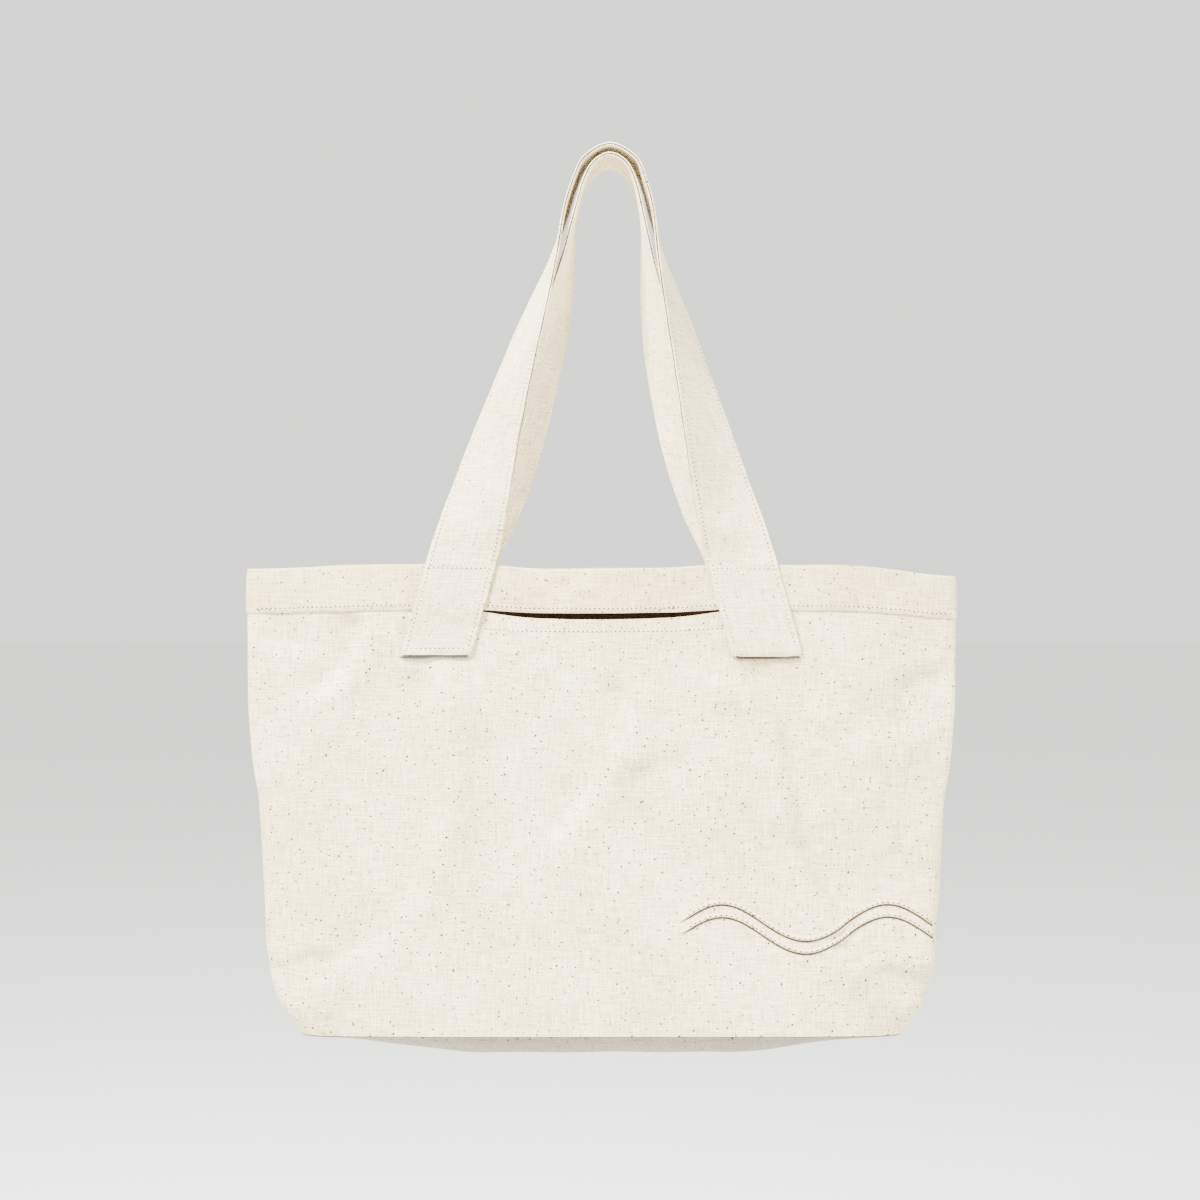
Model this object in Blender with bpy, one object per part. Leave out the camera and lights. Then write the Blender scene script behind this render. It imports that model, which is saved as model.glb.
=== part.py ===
"""Canvas tote bag with boxed bottom corners and a full-width front pocket, hung by both handles.

Metres, +Z up. The front faces -Y. The origin is the hook seat: the underside of the back
handle's loop at its highest point. Heights called "down" are measured below the bag's top edge.
"""
import math

import bmesh
import bpy
import numpy as np

# Bag body
BAG_HALF_WIDTH = 0.230        # top edge, lying flat
BAG_HEIGHT = 0.305            # top edge to bottom edge
TOP_HALF_DEPTH = 0.0065       # the mouth, drawn nearly shut by the handles
BOTTOM_HALF_DEPTH = 0.036     # the boxed bottom
BOTTOM_SAG = 0.011            # belly of the bottom panel below its edges
CANVAS = 0.0009               # one layer of cloth
GAP = 0.0003                  # between touching pieces
SEAM_WIDTH = 0.010            # seam allowances inside the bag
SEAM_THICK = 0.0014           # two layers pressed together
CORNER_SEAM_SHARE = 0.40      # the straight part of each corner seam, of the bottom's half depth

# Hem band and pocket
BAND_HEIGHT = 0.030
BAND_THICK = 0.0016
POCKET_SLACK = 0.0095         # how far the pocket stands off the front panel
POCKET_LIFT = 0.0005          # how far it stands off where it lies flat
POCKET_DROP = 0.005           # its open edge, below the band
POCKET_TUCK = 0.008           # what the band covers of it at the sides
POCKET_HALF_MOUTH = 0.31304 * BAG_HALF_WIDTH  # the mouth lies between the strap ends
MOUTH_SLOPE = 0.12174 * BAG_HALF_WIDTH        # where its edge rises under the band
SLACK_HALF_WIDTH = 0.19565 * BAG_HALF_WIDTH   # where the pocket stands off fully, at its mouth
SLACK_SPREAD = 0.36957 * BAG_HALF_WIDTH       # what that grows by below the strap ends
SLACK_MARGIN = 0.03478 * BAG_HALF_WIDTH       # from the mouth's end to where the pocket lies flat
FLAT_SPREAD = 0.47826 * BAG_HALF_WIDTH        # what that grows by below the strap ends
SLACK_DROP = 0.05             # over this height below the strap ends
POCKET_HEM = 0.0095           # folded hem of the mouth
HEM_THICK = 0.0008

# Stitches, as thin raised lines
THREAD_WIDTH = 0.0008
THREAD_THICK = 0.0003
THREAD_GAP = 0.00015
BAND_STITCH_UP = 0.0038       # above the band's lower edge
STRAP_STITCH_INSET = 0.003

# Handles
STRAP_WIDTH = 0.044
STRAP_THICK = 0.0024
STRAP_SPACING = 0.39565 * BAG_HALF_WIDTH      # strap centre at the top edge, from the middle
STRAP_END_SPACING = 0.46739 * BAG_HALF_WIDTH  # strap centre at its sewn lower end
STRAP_END_DOWN = 0.060
HINGE_GAP = 0.0003
BACK_LOOP = 0.2668            # top edge to the middle of the strap at the top of each loop
FRONT_LOOP = 0.2733
PATH_SPACING = 0.091          # the spacing, strap width and loops that the handle paths are drawn for
PATH_STRAP_WIDTH = 0.044
PATH_BACK_LOOP = 0.2668
PATH_FRONT_LOOP = 0.2733

# Stitched waves on the front
WAVE_LENGTH = 0.46304 * BAG_HALF_WIDTH
WAVE_HEIGHT = 0.0115          # from the middle line to a crest
WAVE_CREST_X = 0.33478 * BAG_HALF_WIDTH
WAVE_DOWN = 0.76066 * BAG_HEIGHT
WAVE_PITCH = 0.0088           # from the upper wave to the lower one
WAVE_START_X = 0.21739 * BAG_HALF_WIDTH
WAVE_END_X = 0.88261 * BAG_HALF_WIDTH
WAVE_RIDGE = 0.003
WAVE_THICK = 0.0006

TOP_Z = STRAP_THICK / 2 - BACK_LOOP
BAND_OUT = POCKET_LIFT + CANVAS + GAP
STRAP_OUT = BAND_OUT + BAND_THICK + 2 * THREAD_GAP + THREAD_THICK
EVEN = np.linspace(-1, 1, 33)
COLUMNS = 0.4 * EVEN + 0.6 * np.sin(EVEN * math.pi / 2)   # closer together at the side seams
ROW_HEIGHT = 0.018
ROWS = np.linspace(0, 1, round(BAG_HEIGHT / ROW_HEIGHT) + 1)
SEAM_CLEARANCE = 0.002        # between the side seams' allowances and the walls
BOTTOM_CLEARANCE = 0.0006

CANVAS_COLOUR = (0.86, 0.82, 0.74)
BAND_COLOUR = (0.82, 0.77, 0.67)
STRAP_COLOUR = (0.84, 0.81, 0.73)
SEAM_COLOUR = (0.74, 0.70, 0.62)
THREAD_COLOUR = (0.90, 0.87, 0.80)


def removeSceneObjects():
    for obj in list(bpy.data.objects):
        bpy.data.objects.remove(obj, do_unlink=True)


def clothMaterial(name, colour, roughness):
    material = bpy.data.materials.new(name)
    material.use_nodes = True
    shader = material.node_tree.nodes["Principled BSDF"]
    shader.inputs["Base Color"].default_value = (*colour, 1)
    shader.inputs["Roughness"].default_value = roughness
    shader.inputs["Metallic"].default_value = 0
    return material


def smoothStep(value, low, high):
    share = np.clip((np.asarray(value, float) - low) / (high - low), 0, 1)
    return share * share * (3 - 2 * share)


# The bag's outline from the top edge (0) to the bottom edge (1)

def halfWidth(share):
    bottom = BAG_HALF_WIDTH - BOTTOM_HALF_DEPTH
    shares = [0, 0.3, 0.42, 0.5, 0.7, 0.88, 0.94, 1]
    narrowing = [0, 0.02, 0.11, 0.22, 0.34, 0.47, 0.64, 1]
    return BAG_HALF_WIDTH - (BAG_HALF_WIDTH - bottom) * np.interp(share, shares, narrowing)


def halfDepth(share):
    shares = [0, 0.2, 0.4, 0.6, 0.8, 1]
    opening = [0, 0.02, 0.08, 0.30, 0.62, 1]
    return TOP_HALF_DEPTH + (BOTTOM_HALF_DEPTH - TOP_HALF_DEPTH) * np.interp(share, shares, opening)


def squareness(share):
    return 4 + 2 * share


def wallPoint(side, column, down, out):
    """A point on the front (side -1) or back (side 1) wall, column -1 to 1 between the side seams."""
    share = down / BAG_HEIGHT
    width = halfWidth(share)
    depth = halfDepth(share)
    power = squareness(share)
    turn = np.linspace(math.pi, 0, 1201)
    x = width * np.sign(np.cos(turn)) * np.abs(np.cos(turn)) ** (2 / power)
    y = depth * np.abs(np.sin(turn)) ** (2 / power)
    length = np.concatenate([[0], np.cumsum(np.hypot(np.diff(x), np.diff(y)))])
    at = (column + 1) / 2 * length[-1]
    px = np.interp(at, length, x)
    py = np.interp(at, length, y) if abs(column) < 1 else 0
    return offsetPoint(side, px, py, width, depth, power, down, out)


def facePoint(side, x, down, out):
    """The same wall, found from x instead of from the column."""
    share = down / BAG_HEIGHT
    width = halfWidth(share)
    depth = halfDepth(share)
    power = squareness(share)
    y = depth * (1 - abs(x / width) ** power) ** (1 / power)
    return offsetPoint(side, x, y, width, depth, power, down, out)


def offsetPoint(side, x, y, width, depth, power, down, out):
    normalX = math.copysign(abs(x / width) ** (power - 1) / width, x)
    normalY = abs(y / depth) ** (power - 1) / depth
    length = math.hypot(normalX, normalY)
    return (
        x + out * normalX / length,
        side * (y + GAP / 2 + out * normalY / length),
        TOP_Z - down,
    )


def pocketEdge(x):
    """How far down the pocket's top edge lies: open in the middle, under the band at the sides."""
    low = BAND_HEIGHT + POCKET_DROP
    high = BAND_HEIGHT - POCKET_TUCK
    return low + (high - low) * float(smoothStep(abs(x), POCKET_HALF_MOUTH, POCKET_HALF_MOUTH + MOUTH_SLOPE))


def pocketSlack(x, down):
    """How far the pocket stands off the front panel: held flat by the strap ends and the seams."""
    wider = float(smoothStep(down, STRAP_END_DOWN, STRAP_END_DOWN + SLACK_DROP))
    full = SLACK_HALF_WIDTH + SLACK_SPREAD * wider
    closed = POCKET_HALF_MOUTH + SLACK_MARGIN + FLAT_SPREAD * wider
    across = 1 - float(smoothStep(abs(x), full, closed))
    downward = 1 - float(smoothStep(down, 0.6 * BAG_HEIGHT, 0.85 * BAG_HEIGHT))
    return POCKET_LIFT + (POCKET_SLACK - POCKET_LIFT) * across * downward


# Solids

def addObject(name, mesh, material, parent):
    obj = bpy.data.objects.new(name, mesh)
    bpy.context.scene.collection.objects.link(obj)
    obj.data.materials.append(material)
    obj.parent = parent
    if parent:
        obj.matrix_parent_inverse = parent.matrix_world.inverted()
    return obj


def clothSolid(name, inner, outer, material, parent=None):
    """One closed layer of cloth between two grids of points of the same size."""
    mesh = bpy.data.meshes.new(name)
    work = bmesh.new()
    rows = len(inner)
    columns = len(inner[0])
    low = [[work.verts.new(point) for point in row] for row in inner]
    high = [[work.verts.new(point) for point in row] for row in outer]
    for i in range(rows - 1):
        for j in range(columns - 1):
            work.faces.new((low[i][j], low[i + 1][j], low[i + 1][j + 1], low[i][j + 1]))
            work.faces.new((high[i][j], high[i][j + 1], high[i + 1][j + 1], high[i + 1][j]))
    for i in range(rows - 1):
        work.faces.new((low[i][0], high[i][0], high[i + 1][0], low[i + 1][0]))
        work.faces.new((low[i][-1], low[i + 1][-1], high[i + 1][-1], high[i][-1]))
    for j in range(columns - 1):
        work.faces.new((low[0][j], low[0][j + 1], high[0][j + 1], high[0][j]))
        work.faces.new((low[-1][j], high[-1][j], high[-1][j + 1], low[-1][j + 1]))
    bmesh.ops.triangulate(work, faces=work.faces)
    bmesh.ops.recalc_face_normals(work, faces=work.faces)
    if work.calc_volume(signed=True) < 0:
        bmesh.ops.reverse_faces(work, faces=work.faces)
    work.to_mesh(mesh)
    work.free()
    mesh.shade_smooth()
    mesh.set_sharp_from_angle(angle=math.radians(40))
    return addObject(name, mesh, material, parent)


def wallSolid(name, side, columns, downs, out, thick, material):
    """A layer on one wall: downs(x) gives the heights of its rows, out(x, down) its distance."""
    inner = []
    outer = []
    for share in downs[1]:
        rowInner = []
        rowOuter = []
        for column in columns:
            down = downs[0](column, share)
            x = wallPoint(side, column, down, 0)[0]
            away = out(x, down)
            rowInner.append(wallPoint(side, column, down, away))
            rowOuter.append(wallPoint(side, column, down, away + thick))
        inner.append(rowInner)
        outer.append(rowOuter)
    return clothSolid(name, inner, outer, material)


def stripSolid(name, side, path, width, out, thick, material):
    """A narrow strip along a path of (x, down) on a wall."""
    path = np.array(path)
    along = np.gradient(path, axis=0)
    along /= np.linalg.norm(along, axis=1)[:, None]
    across = np.stack([-along[:, 1], along[:, 0]], axis=1)
    grids = []
    for distance in (0, thick):
        grid = []
        for sign in (-0.5, 0.5):
            edge = path + sign * width * across
            grid.append([facePoint(side, x, down, out(x, down) + distance) for x, down in edge])
        grids.append(grid)
    return clothSolid(name, *grids, material)


def plateSolid(name, corners, y0, y1, material, parent=None):
    """A flat piece with the given (x, z) corners, from y0 to y1."""
    rows = [[corners[0], corners[1]], [corners[3], corners[2]]]
    inner = [[(x, y0, z) for x, z in row] for row in rows]
    outer = [[(x, y1, z) for x, z in row] for row in rows]
    return clothSolid(name, inner, outer, material, parent)


def frameSolid(name, outline, opening, y0, y1, material):
    """A flat closed line of stitches: the band between two outlines of (x, z) corners."""
    near = [[(x, y0, z) for x, z in loop] for loop in (outline, opening)]
    far = [[(x, y1, z) for x, z in loop] for loop in (outline, opening)]
    mesh = bpy.data.meshes.new(name)
    work = bmesh.new()
    loops = [[work.verts.new(point) for point in loop] for loop in near + far]
    for a, b in ((0, 1), (1, 3), (3, 2), (2, 0)):
        for i in range(4):
            k = (i + 1) % 4
            work.faces.new((loops[a][i], loops[a][k], loops[b][k], loops[b][i]))
    bmesh.ops.recalc_face_normals(work, faces=work.faces)
    if work.calc_volume(signed=True) < 0:
        bmesh.ops.reverse_faces(work, faces=work.faces)
    work.to_mesh(mesh)
    work.free()
    return addObject(name, mesh, material, None)


# Walls of the bag

def makeWalls(canvas, seam):
    fullHeight = (lambda column, share: BAG_HEIGHT * share, ROWS)
    for name, side in (("front_panel", -1), ("back_panel", 1)):
        wallSolid(name, side, COLUMNS, fullHeight, lambda x, down: -CANVAS, CANVAS, canvas)

    def pocketRow(column, share):
        return BAG_HEIGHT * share if share else pocketEdge(wallPoint(-1, column, BAND_HEIGHT, 0)[0])

    below = [0, *ROWS[ROWS * BAG_HEIGHT > BAND_HEIGHT + POCKET_DROP + POCKET_HEM]]
    wallSolid("pocket_panel", -1, COLUMNS, (pocketRow, below), pocketSlack, CANVAS, canvas)
    makeSideSeams(seam)
    makeBottomSeams(seam)


def makeSideSeams(seam):
    """The seam allowances lie inside, in the middle plane, above the corner seams."""
    downs = np.linspace(GAP, BAG_HEIGHT - SEAM_WIDTH - SEAM_CLEARANCE, 12)
    for name, sign in (("left_side_seam", -1), ("right_side_seam", 1)):
        grids = []
        for y in (-SEAM_THICK / 2, SEAM_THICK / 2):
            grid = []
            for inward in (CANVAS + SEAM_CLEARANCE, CANVAS + SEAM_CLEARANCE + SEAM_WIDTH):
                grid.append([
                    (sign * (halfWidth(down / BAG_HEIGHT) - inward), y, TOP_Z - down)
                    for down in downs
                ])
            grids.append(grid)
        clothSolid(name, *grids, seam)


def makeBottomSeams(seam):
    """The allowances of the bottom panel stand up against the walls inside."""
    high = BAG_HEIGHT - SEAM_WIDTH
    low = BAG_HEIGHT - BOTTOM_CLEARANCE
    rows = (lambda column, share: high + (low - high) * share, np.linspace(0, 1, 3))
    inside = -CANVAS - GAP - SEAM_THICK
    along = COLUMNS[np.abs(COLUMNS) < 0.8]
    for name, side in (("front_bottom_seam", -1), ("back_bottom_seam", 1)):
        wallSolid(name, side, along, rows, lambda x, down: inside, SEAM_THICK, seam)
    for name, sign in (("left_corner_seam", -1), ("right_corner_seam", 1)):
        halfLength = CORNER_SEAM_SHARE * BOTTOM_HALF_DEPTH
        grids = []
        for inward in (CANVAS + 4 * GAP, CANVAS + 4 * GAP + SEAM_THICK):
            grids.append([
                [
                    (sign * (halfWidth(down / BAG_HEIGHT) - inward), y, TOP_Z - down)
                    for y in (-halfLength, halfLength)
                ]
                for down in np.linspace(high, low, 3)
            ])
        clothSolid(name, *grids, seam)


def makeBottom(canvas):
    """The bottom panel: its rim meets the walls, its middle hangs in a flat belly."""
    power = squareness(1)
    width = halfWidth(1)
    depth = BOTTOM_HALF_DEPTH + GAP / 2
    across = np.array([-1, -0.8, -0.6, -0.4, 0, 0.4, 0.6, 0.8, 1])
    along = np.array([-1, -0.94, -0.86, -0.75, -0.62, -0.5, 0, 0.5, 0.62, 0.75, 0.86, 0.94, 1])
    grids = []
    for lower in (0, CANVAS):
        grid = []
        for q in across:
            row = []
            for p in along:
                reach = max(abs(p), abs(q))
                shrink = reach / (abs(p) ** power + abs(q) ** power) ** (1 / power) if reach else 0
                belly = (1 - smoothStep(abs(p), 0.5, 1)) * (1 - smoothStep(abs(q), 0.4, 1))
                z = TOP_Z - BAG_HEIGHT - GAP - BOTTOM_SAG * belly - lower
                row.append((width * p * shrink, depth * q * shrink, z))
            grid.append(row)
        grids.append(grid)
    clothSolid("bottom_panel", *grids, canvas)


def makeBands(band, thread):
    """The hem band runs round the outside of the mouth, and one row of stitches holds it."""
    columns = COLUMNS
    rows = (lambda column, share: BAND_HEIGHT * share, np.linspace(0, 1, 4))
    for name, side in (("front_band", -1), ("back_band", 1)):
        inner = BAND_OUT if side < 0 else GAP
        wallSolid(name, side, columns, rows, lambda x, down: inner, BAND_THICK, band)
        reach = 0.9 * BAG_HALF_WIDTH
        path = [(x, BAND_HEIGHT - BAND_STITCH_UP) for x in np.linspace(-reach, reach, 25)]
        out = inner + BAND_THICK + THREAD_GAP
        stripSolid(name + "_stitching", side, path, THREAD_WIDTH, lambda x, down: out, THREAD_THICK, thread)


def makePocketMouth(canvas, thread):
    """The folded hem behind the pocket's open edge, and its row of stitches in front."""
    columns = COLUMNS[np.abs(COLUMNS) * BAG_HALF_WIDTH < POCKET_HALF_MOUTH - HEM_THICK]
    top = BAND_HEIGHT + POCKET_DROP
    hemRows = (lambda column, share: top + POCKET_HEM * share, (0, 1))
    wallSolid(
        "pocket_mouth_hem", -1, columns, hemRows,
        lambda x, down: pocketSlack(x, down) - GAP - HEM_THICK, HEM_THICK, canvas,
    )
    stitchRows = (lambda column, share: top + POCKET_HEM + THREAD_WIDTH * (share - 0.5), (0, 1))
    wallSolid(
        "pocket_hem_stitching", -1, columns, stitchRows,
        lambda x, down: pocketSlack(x, down) + CANVAS + THREAD_GAP, THREAD_THICK, thread,
    )


def makeWaves(canvas):
    """Two raised tucks in parallel waves, low on the right of the front."""
    for name, lower in (("wave_tuck_upper", 0), ("wave_tuck_lower", WAVE_PITCH)):
        path = []
        for x in np.linspace(WAVE_START_X, WAVE_END_X, 33):
            turn = 2 * math.pi * (x - WAVE_CREST_X) / WAVE_LENGTH
            path.append((x, WAVE_DOWN + lower - WAVE_HEIGHT * math.cos(turn)))
        stripSolid(
            name, -1, path, WAVE_RIDGE,
            lambda x, down: pocketSlack(x, down) + CANVAS + 2 * GAP, WAVE_THICK, canvas,
        )


# Handles

def strapX(down):
    """Strap centre on the bag, which slants outwards as it goes down."""
    return STRAP_SPACING + (STRAP_END_SPACING - STRAP_SPACING) * down / STRAP_END_DOWN


def strapSlant():
    return math.hypot(1, (STRAP_END_SPACING - STRAP_SPACING) / STRAP_END_DOWN)


def makeStrapEnds(strap, thread):
    """Each strap end is sewn flat on the outside, with a closed line of stitches."""
    half = STRAP_WIDTH / 2 * strapSlant()

    def corners(top, bottom, inset):
        reach = half - inset
        return [
            (sign * (strapX(down) + edge * reach), TOP_Z - down)
            for down, edge in ((top, -1), (top, 1), (bottom, 1), (bottom, -1))
        ]

    for face, side in (("front", -1), ("back", 1)):
        for hand, sign in (("left", -1), ("right", 1)):
            name = f"{face}_{hand}_strap_end"
            flat = side * strapPlane(side)
            plateSolid(
                name, corners(HINGE_GAP, STRAP_END_DOWN, 0),
                flat, flat + side * STRAP_THICK, strap,
            )
            near = flat + side * (STRAP_THICK + THREAD_GAP)
            inset = STRAP_STITCH_INSET
            frameSolid(
                f"{name}_stitching",
                corners(inset, STRAP_END_DOWN - inset, inset),
                corners(inset + THREAD_WIDTH, STRAP_END_DOWN - inset - THREAD_WIDTH, inset + THREAD_WIDTH),
                near, near + side * THREAD_THICK, thread,
            )


def strapPlane(side):
    """Distance of the sewn strap ends' inner face from the middle plane."""
    out = STRAP_OUT if side < 0 else GAP + BAND_THICK + 2 * THREAD_GAP + THREAD_THICK
    return halfDepth(BAND_HEIGHT / BAG_HEIGHT) + GAP / 2 + out


def handlePath(side):
    """One leg from the hinge to the top of the loop: (x, distance from the middle plane, up, twist)."""
    start = strapPlane(side) + STRAP_THICK / 2
    if side < 0:
        legs = [(0.0882, start, 0.010, 3), (0.0770, 0.0140, 0.050, 34), (0.0622, 0.0145, 0.100, 54),
                (0.0480, 0.0110, 0.150, 72), (0.0342, 0.0035, 0.200, 89), (0.0246, 0.0003, 0.232, 90)]
        arc = [(0.0186, 0, 0.253, 90), (0.0125, 0, 0.2665, 90), (0, 0, PATH_FRONT_LOOP, 90)]
    else:
        legs = [(0.0872, start, 0.010, 3), (0.0690, 0.0140, 0.050, 34), (0.0500, 0.0145, 0.100, 54),
                (0.0350, 0.0110, 0.150, 72), (0.0252, 0.0035, 0.200, 89), (0.0186, 0.0003, 0.232, 90)]
        arc = [(0.0138, 0, 0.2485, 90), (0.0086, 0, 0.2618, 90), (0, 0, PATH_BACK_LOOP, 90)]
    loop, drawn = (FRONT_LOOP, PATH_FRONT_LOOP) if side < 0 else (BACK_LOOP, PATH_BACK_LOOP)
    closer = [
        (x * STRAP_SPACING / PATH_SPACING, y if y == start else y * STRAP_WIDTH / PATH_STRAP_WIDTH,
         up * loop / drawn, twist)
        for x, y, up, twist in legs + arc
    ]
    return [(STRAP_SPACING, start, HINGE_GAP, 0), *closer]


def smoothPath(points, steps):
    """Points of a Catmull-Rom curve through the given points."""
    points = np.array(points, float)
    padded = np.vstack([2 * points[0] - points[1], points, 2 * points[-1] - points[-2]])
    path = []
    for i in range(len(points) - 1):
        a, b, c, d = padded[i:i + 4]
        for t in np.linspace(0, 1, steps, endpoint=False):
            path.append(0.5 * (2 * b + (c - a) * t + (2 * a - 5 * b + 4 * c - d) * t * t
                               + (3 * b - a - 3 * c + d) * t ** 3))
    path.append(points[-1])
    return np.array(path)


def handleFrames(side):
    """Centres, width directions and inward normals along the whole strap, right leg to left leg."""
    leg = handlePath(side)
    mirrored = [(-x, y, up, 180 - twist) for x, y, up, twist in reversed(leg[:-1])]
    path = smoothPath(leg + mirrored, 4)
    centres = np.stack([path[:, 0], side * path[:, 1], TOP_Z + path[:, 2]], axis=1)
    twist = np.radians(path[:, 3])
    slant = 1 + (strapSlant() - 1) * np.abs(np.cos(twist))
    across = np.stack([slant * np.cos(twist), -side * np.sin(twist), 0 * twist], axis=1)
    along = np.gradient(centres, axis=0)
    along[0] = along[0] * (1, 0, 1)
    along[-1] = along[-1] * (1, 0, 1)
    normals = -side * np.cross(along, across)
    normals /= np.linalg.norm(normals, axis=1)[:, None]
    return centres, across, normals


def makeHandle(face, side, strap, thread):
    """The strap above the bag's top edge, on its fold line, and a stitched row along each edge."""
    hinge = bpy.data.objects.new(f"{face}_handle_hinge", None)
    bpy.context.scene.collection.objects.link(hinge)
    hinge.location = (0, side * (strapPlane(side) + STRAP_THICK), TOP_Z)
    bpy.context.view_layer.update()
    centres, across, normals = handleFrames(side)

    def grid(reaches, height):
        return [
            [tuple(c + a * reach + n * height) for c, a, n in zip(centres, across, normals)]
            for reach in reaches
        ]

    half = STRAP_WIDTH / 2
    stitch = half - STRAP_STITCH_INSET
    reaches = (-half, -stitch, 0, stitch, half)
    inner = grid(reaches, STRAP_THICK / 2)
    outer = grid(reaches, -STRAP_THICK / 2)
    clothSolid(f"{face}_handle_strap", inner, outer, strap, hinge)
    low = -STRAP_THICK / 2 - THREAD_GAP
    for edge, sign in (("inner", -1), ("outer", 1)):
        reaches = (sign * stitch - THREAD_WIDTH / 2, sign * stitch + THREAD_WIDTH / 2)
        clothSolid(
            f"{face}_handle_{edge}_stitching",
            [row[1:-1] for row in grid(reaches, low)],
            [row[1:-1] for row in grid(reaches, low - THREAD_THICK)],
            thread, hinge,
        )


def main():
    removeSceneObjects()
    canvas = clothMaterial("canvas", CANVAS_COLOUR, 0.9)
    band = clothMaterial("band canvas", BAND_COLOUR, 0.9)
    strap = clothMaterial("strap canvas", STRAP_COLOUR, 0.85)
    seam = clothMaterial("seam canvas", SEAM_COLOUR, 0.95)
    thread = clothMaterial("cotton thread", THREAD_COLOUR, 0.6)
    makeWalls(canvas, seam)
    makeBottom(canvas)
    makeBands(band, thread)
    makePocketMouth(canvas, thread)
    makeWaves(canvas)
    makeStrapEnds(strap, thread)
    makeHandle("front", -1, strap, thread)
    makeHandle("back", 1, strap, thread)


main()
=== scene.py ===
# Canvas tote bag hanging by both handles: the cloth, the sewing and the finish.
import math
import random
import bpy
import numpy as np
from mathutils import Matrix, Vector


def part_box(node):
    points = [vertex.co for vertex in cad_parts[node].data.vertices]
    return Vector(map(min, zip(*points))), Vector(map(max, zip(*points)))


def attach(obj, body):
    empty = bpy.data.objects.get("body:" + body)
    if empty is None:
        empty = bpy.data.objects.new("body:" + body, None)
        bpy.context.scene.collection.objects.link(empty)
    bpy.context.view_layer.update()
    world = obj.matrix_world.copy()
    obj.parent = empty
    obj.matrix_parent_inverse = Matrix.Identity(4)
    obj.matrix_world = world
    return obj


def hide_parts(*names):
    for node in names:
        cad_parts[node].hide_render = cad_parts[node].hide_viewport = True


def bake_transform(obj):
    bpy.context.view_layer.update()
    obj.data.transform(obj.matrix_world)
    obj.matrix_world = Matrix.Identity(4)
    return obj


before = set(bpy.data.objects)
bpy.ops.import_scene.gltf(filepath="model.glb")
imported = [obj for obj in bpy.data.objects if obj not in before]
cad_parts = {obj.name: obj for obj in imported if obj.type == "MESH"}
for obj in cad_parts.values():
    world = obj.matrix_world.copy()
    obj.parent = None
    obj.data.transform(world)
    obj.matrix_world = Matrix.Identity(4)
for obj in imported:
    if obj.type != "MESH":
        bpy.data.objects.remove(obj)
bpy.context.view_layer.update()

millimetre = 0.001
lowCorner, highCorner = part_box("front_panel")
topZ = highCorner[2]
bagHeight = highCorner[2] - lowCorner[2]
bagHalfWidth = highCorner[0]
bottomDepth = -lowCorner[1]
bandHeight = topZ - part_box("front_band")[0][2]

# Small helpers for shapes

def ramp(value, low, high):
    share = np.clip((np.asarray(value, float) - low) / (high - low), 0, 1)
    return share * share * (3 - 2 * share)


def unit(vectors):
    return vectors / np.maximum(np.linalg.norm(vectors, axis=-1, keepdims=True), 1e-12)


def softened(values, width):
    # Rounds the corners of a list of values by averaging neighbours.
    kernel = np.exp(-np.linspace(-2, 2, 2 * width + 1) ** 2)
    before = 2 * values[0] - values[width:0:-1]
    after = 2 * values[-1] - values[-2:-width - 2:-1]
    padded = np.concatenate([before, values, after])
    return np.convolve(padded, kernel / kernel.sum(), "valid")


def grain(points, size, seed):
    # Smooth uneven values between -1 and 1, about one bump for each size.
    draw = random.Random(seed)
    total = 0
    for _ in range(7):
        turn = draw.uniform(0, math.pi)
        length = size * draw.uniform(0.7, 1.6)
        shift = draw.uniform(0, 2 * math.pi)
        across = points[..., 0] * math.cos(turn) + points[..., 1] * math.sin(turn)
        total = total + np.sin(2 * math.pi * across / length + shift)
    return total / 3.5


# The outline of the hanging bag, from the top edge (0) to the bottom edge (1)
bagShape = {
    "rows": 181,
    "columns": 361,
    "widthAt": [0, 0.02, 0.06, 0.30, 0.42, 0.50, 0.62, 0.80, 0.88, 0.94, 1],
    "width": [0.996, 0.999, 1, 0.997, 0.985, 0.966, 0.955, 0.938, 0.928, 0.900, 0.838],
    "depthAt": [0, 0.2, 0.4, 0.6, 0.8, 0.92, 1],
    "depth": [0.175, 0.19, 0.24, 0.38, 0.68, 0.90, 1],
    "topSquareness": 3.2,
    "bottomSquareness": 6,
    "leftDroop": 3 * millimetre,
    "rightDroop": 8 * millimetre,
    "backDrop": 6 * millimetre,
    "tautness": 0.984,
    "middleSag": 2.4 * millimetre,
    "middleHalf": 0.36,
    "mouthWave": 0.5 * millimetre,
    "relief": [(0.25 * millimetre, 0.075, 5), (0.10 * millimetre, 0.022, 15)],  # height, size, seed
    "foldsStart": (0.018, 0.045),
}

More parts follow.
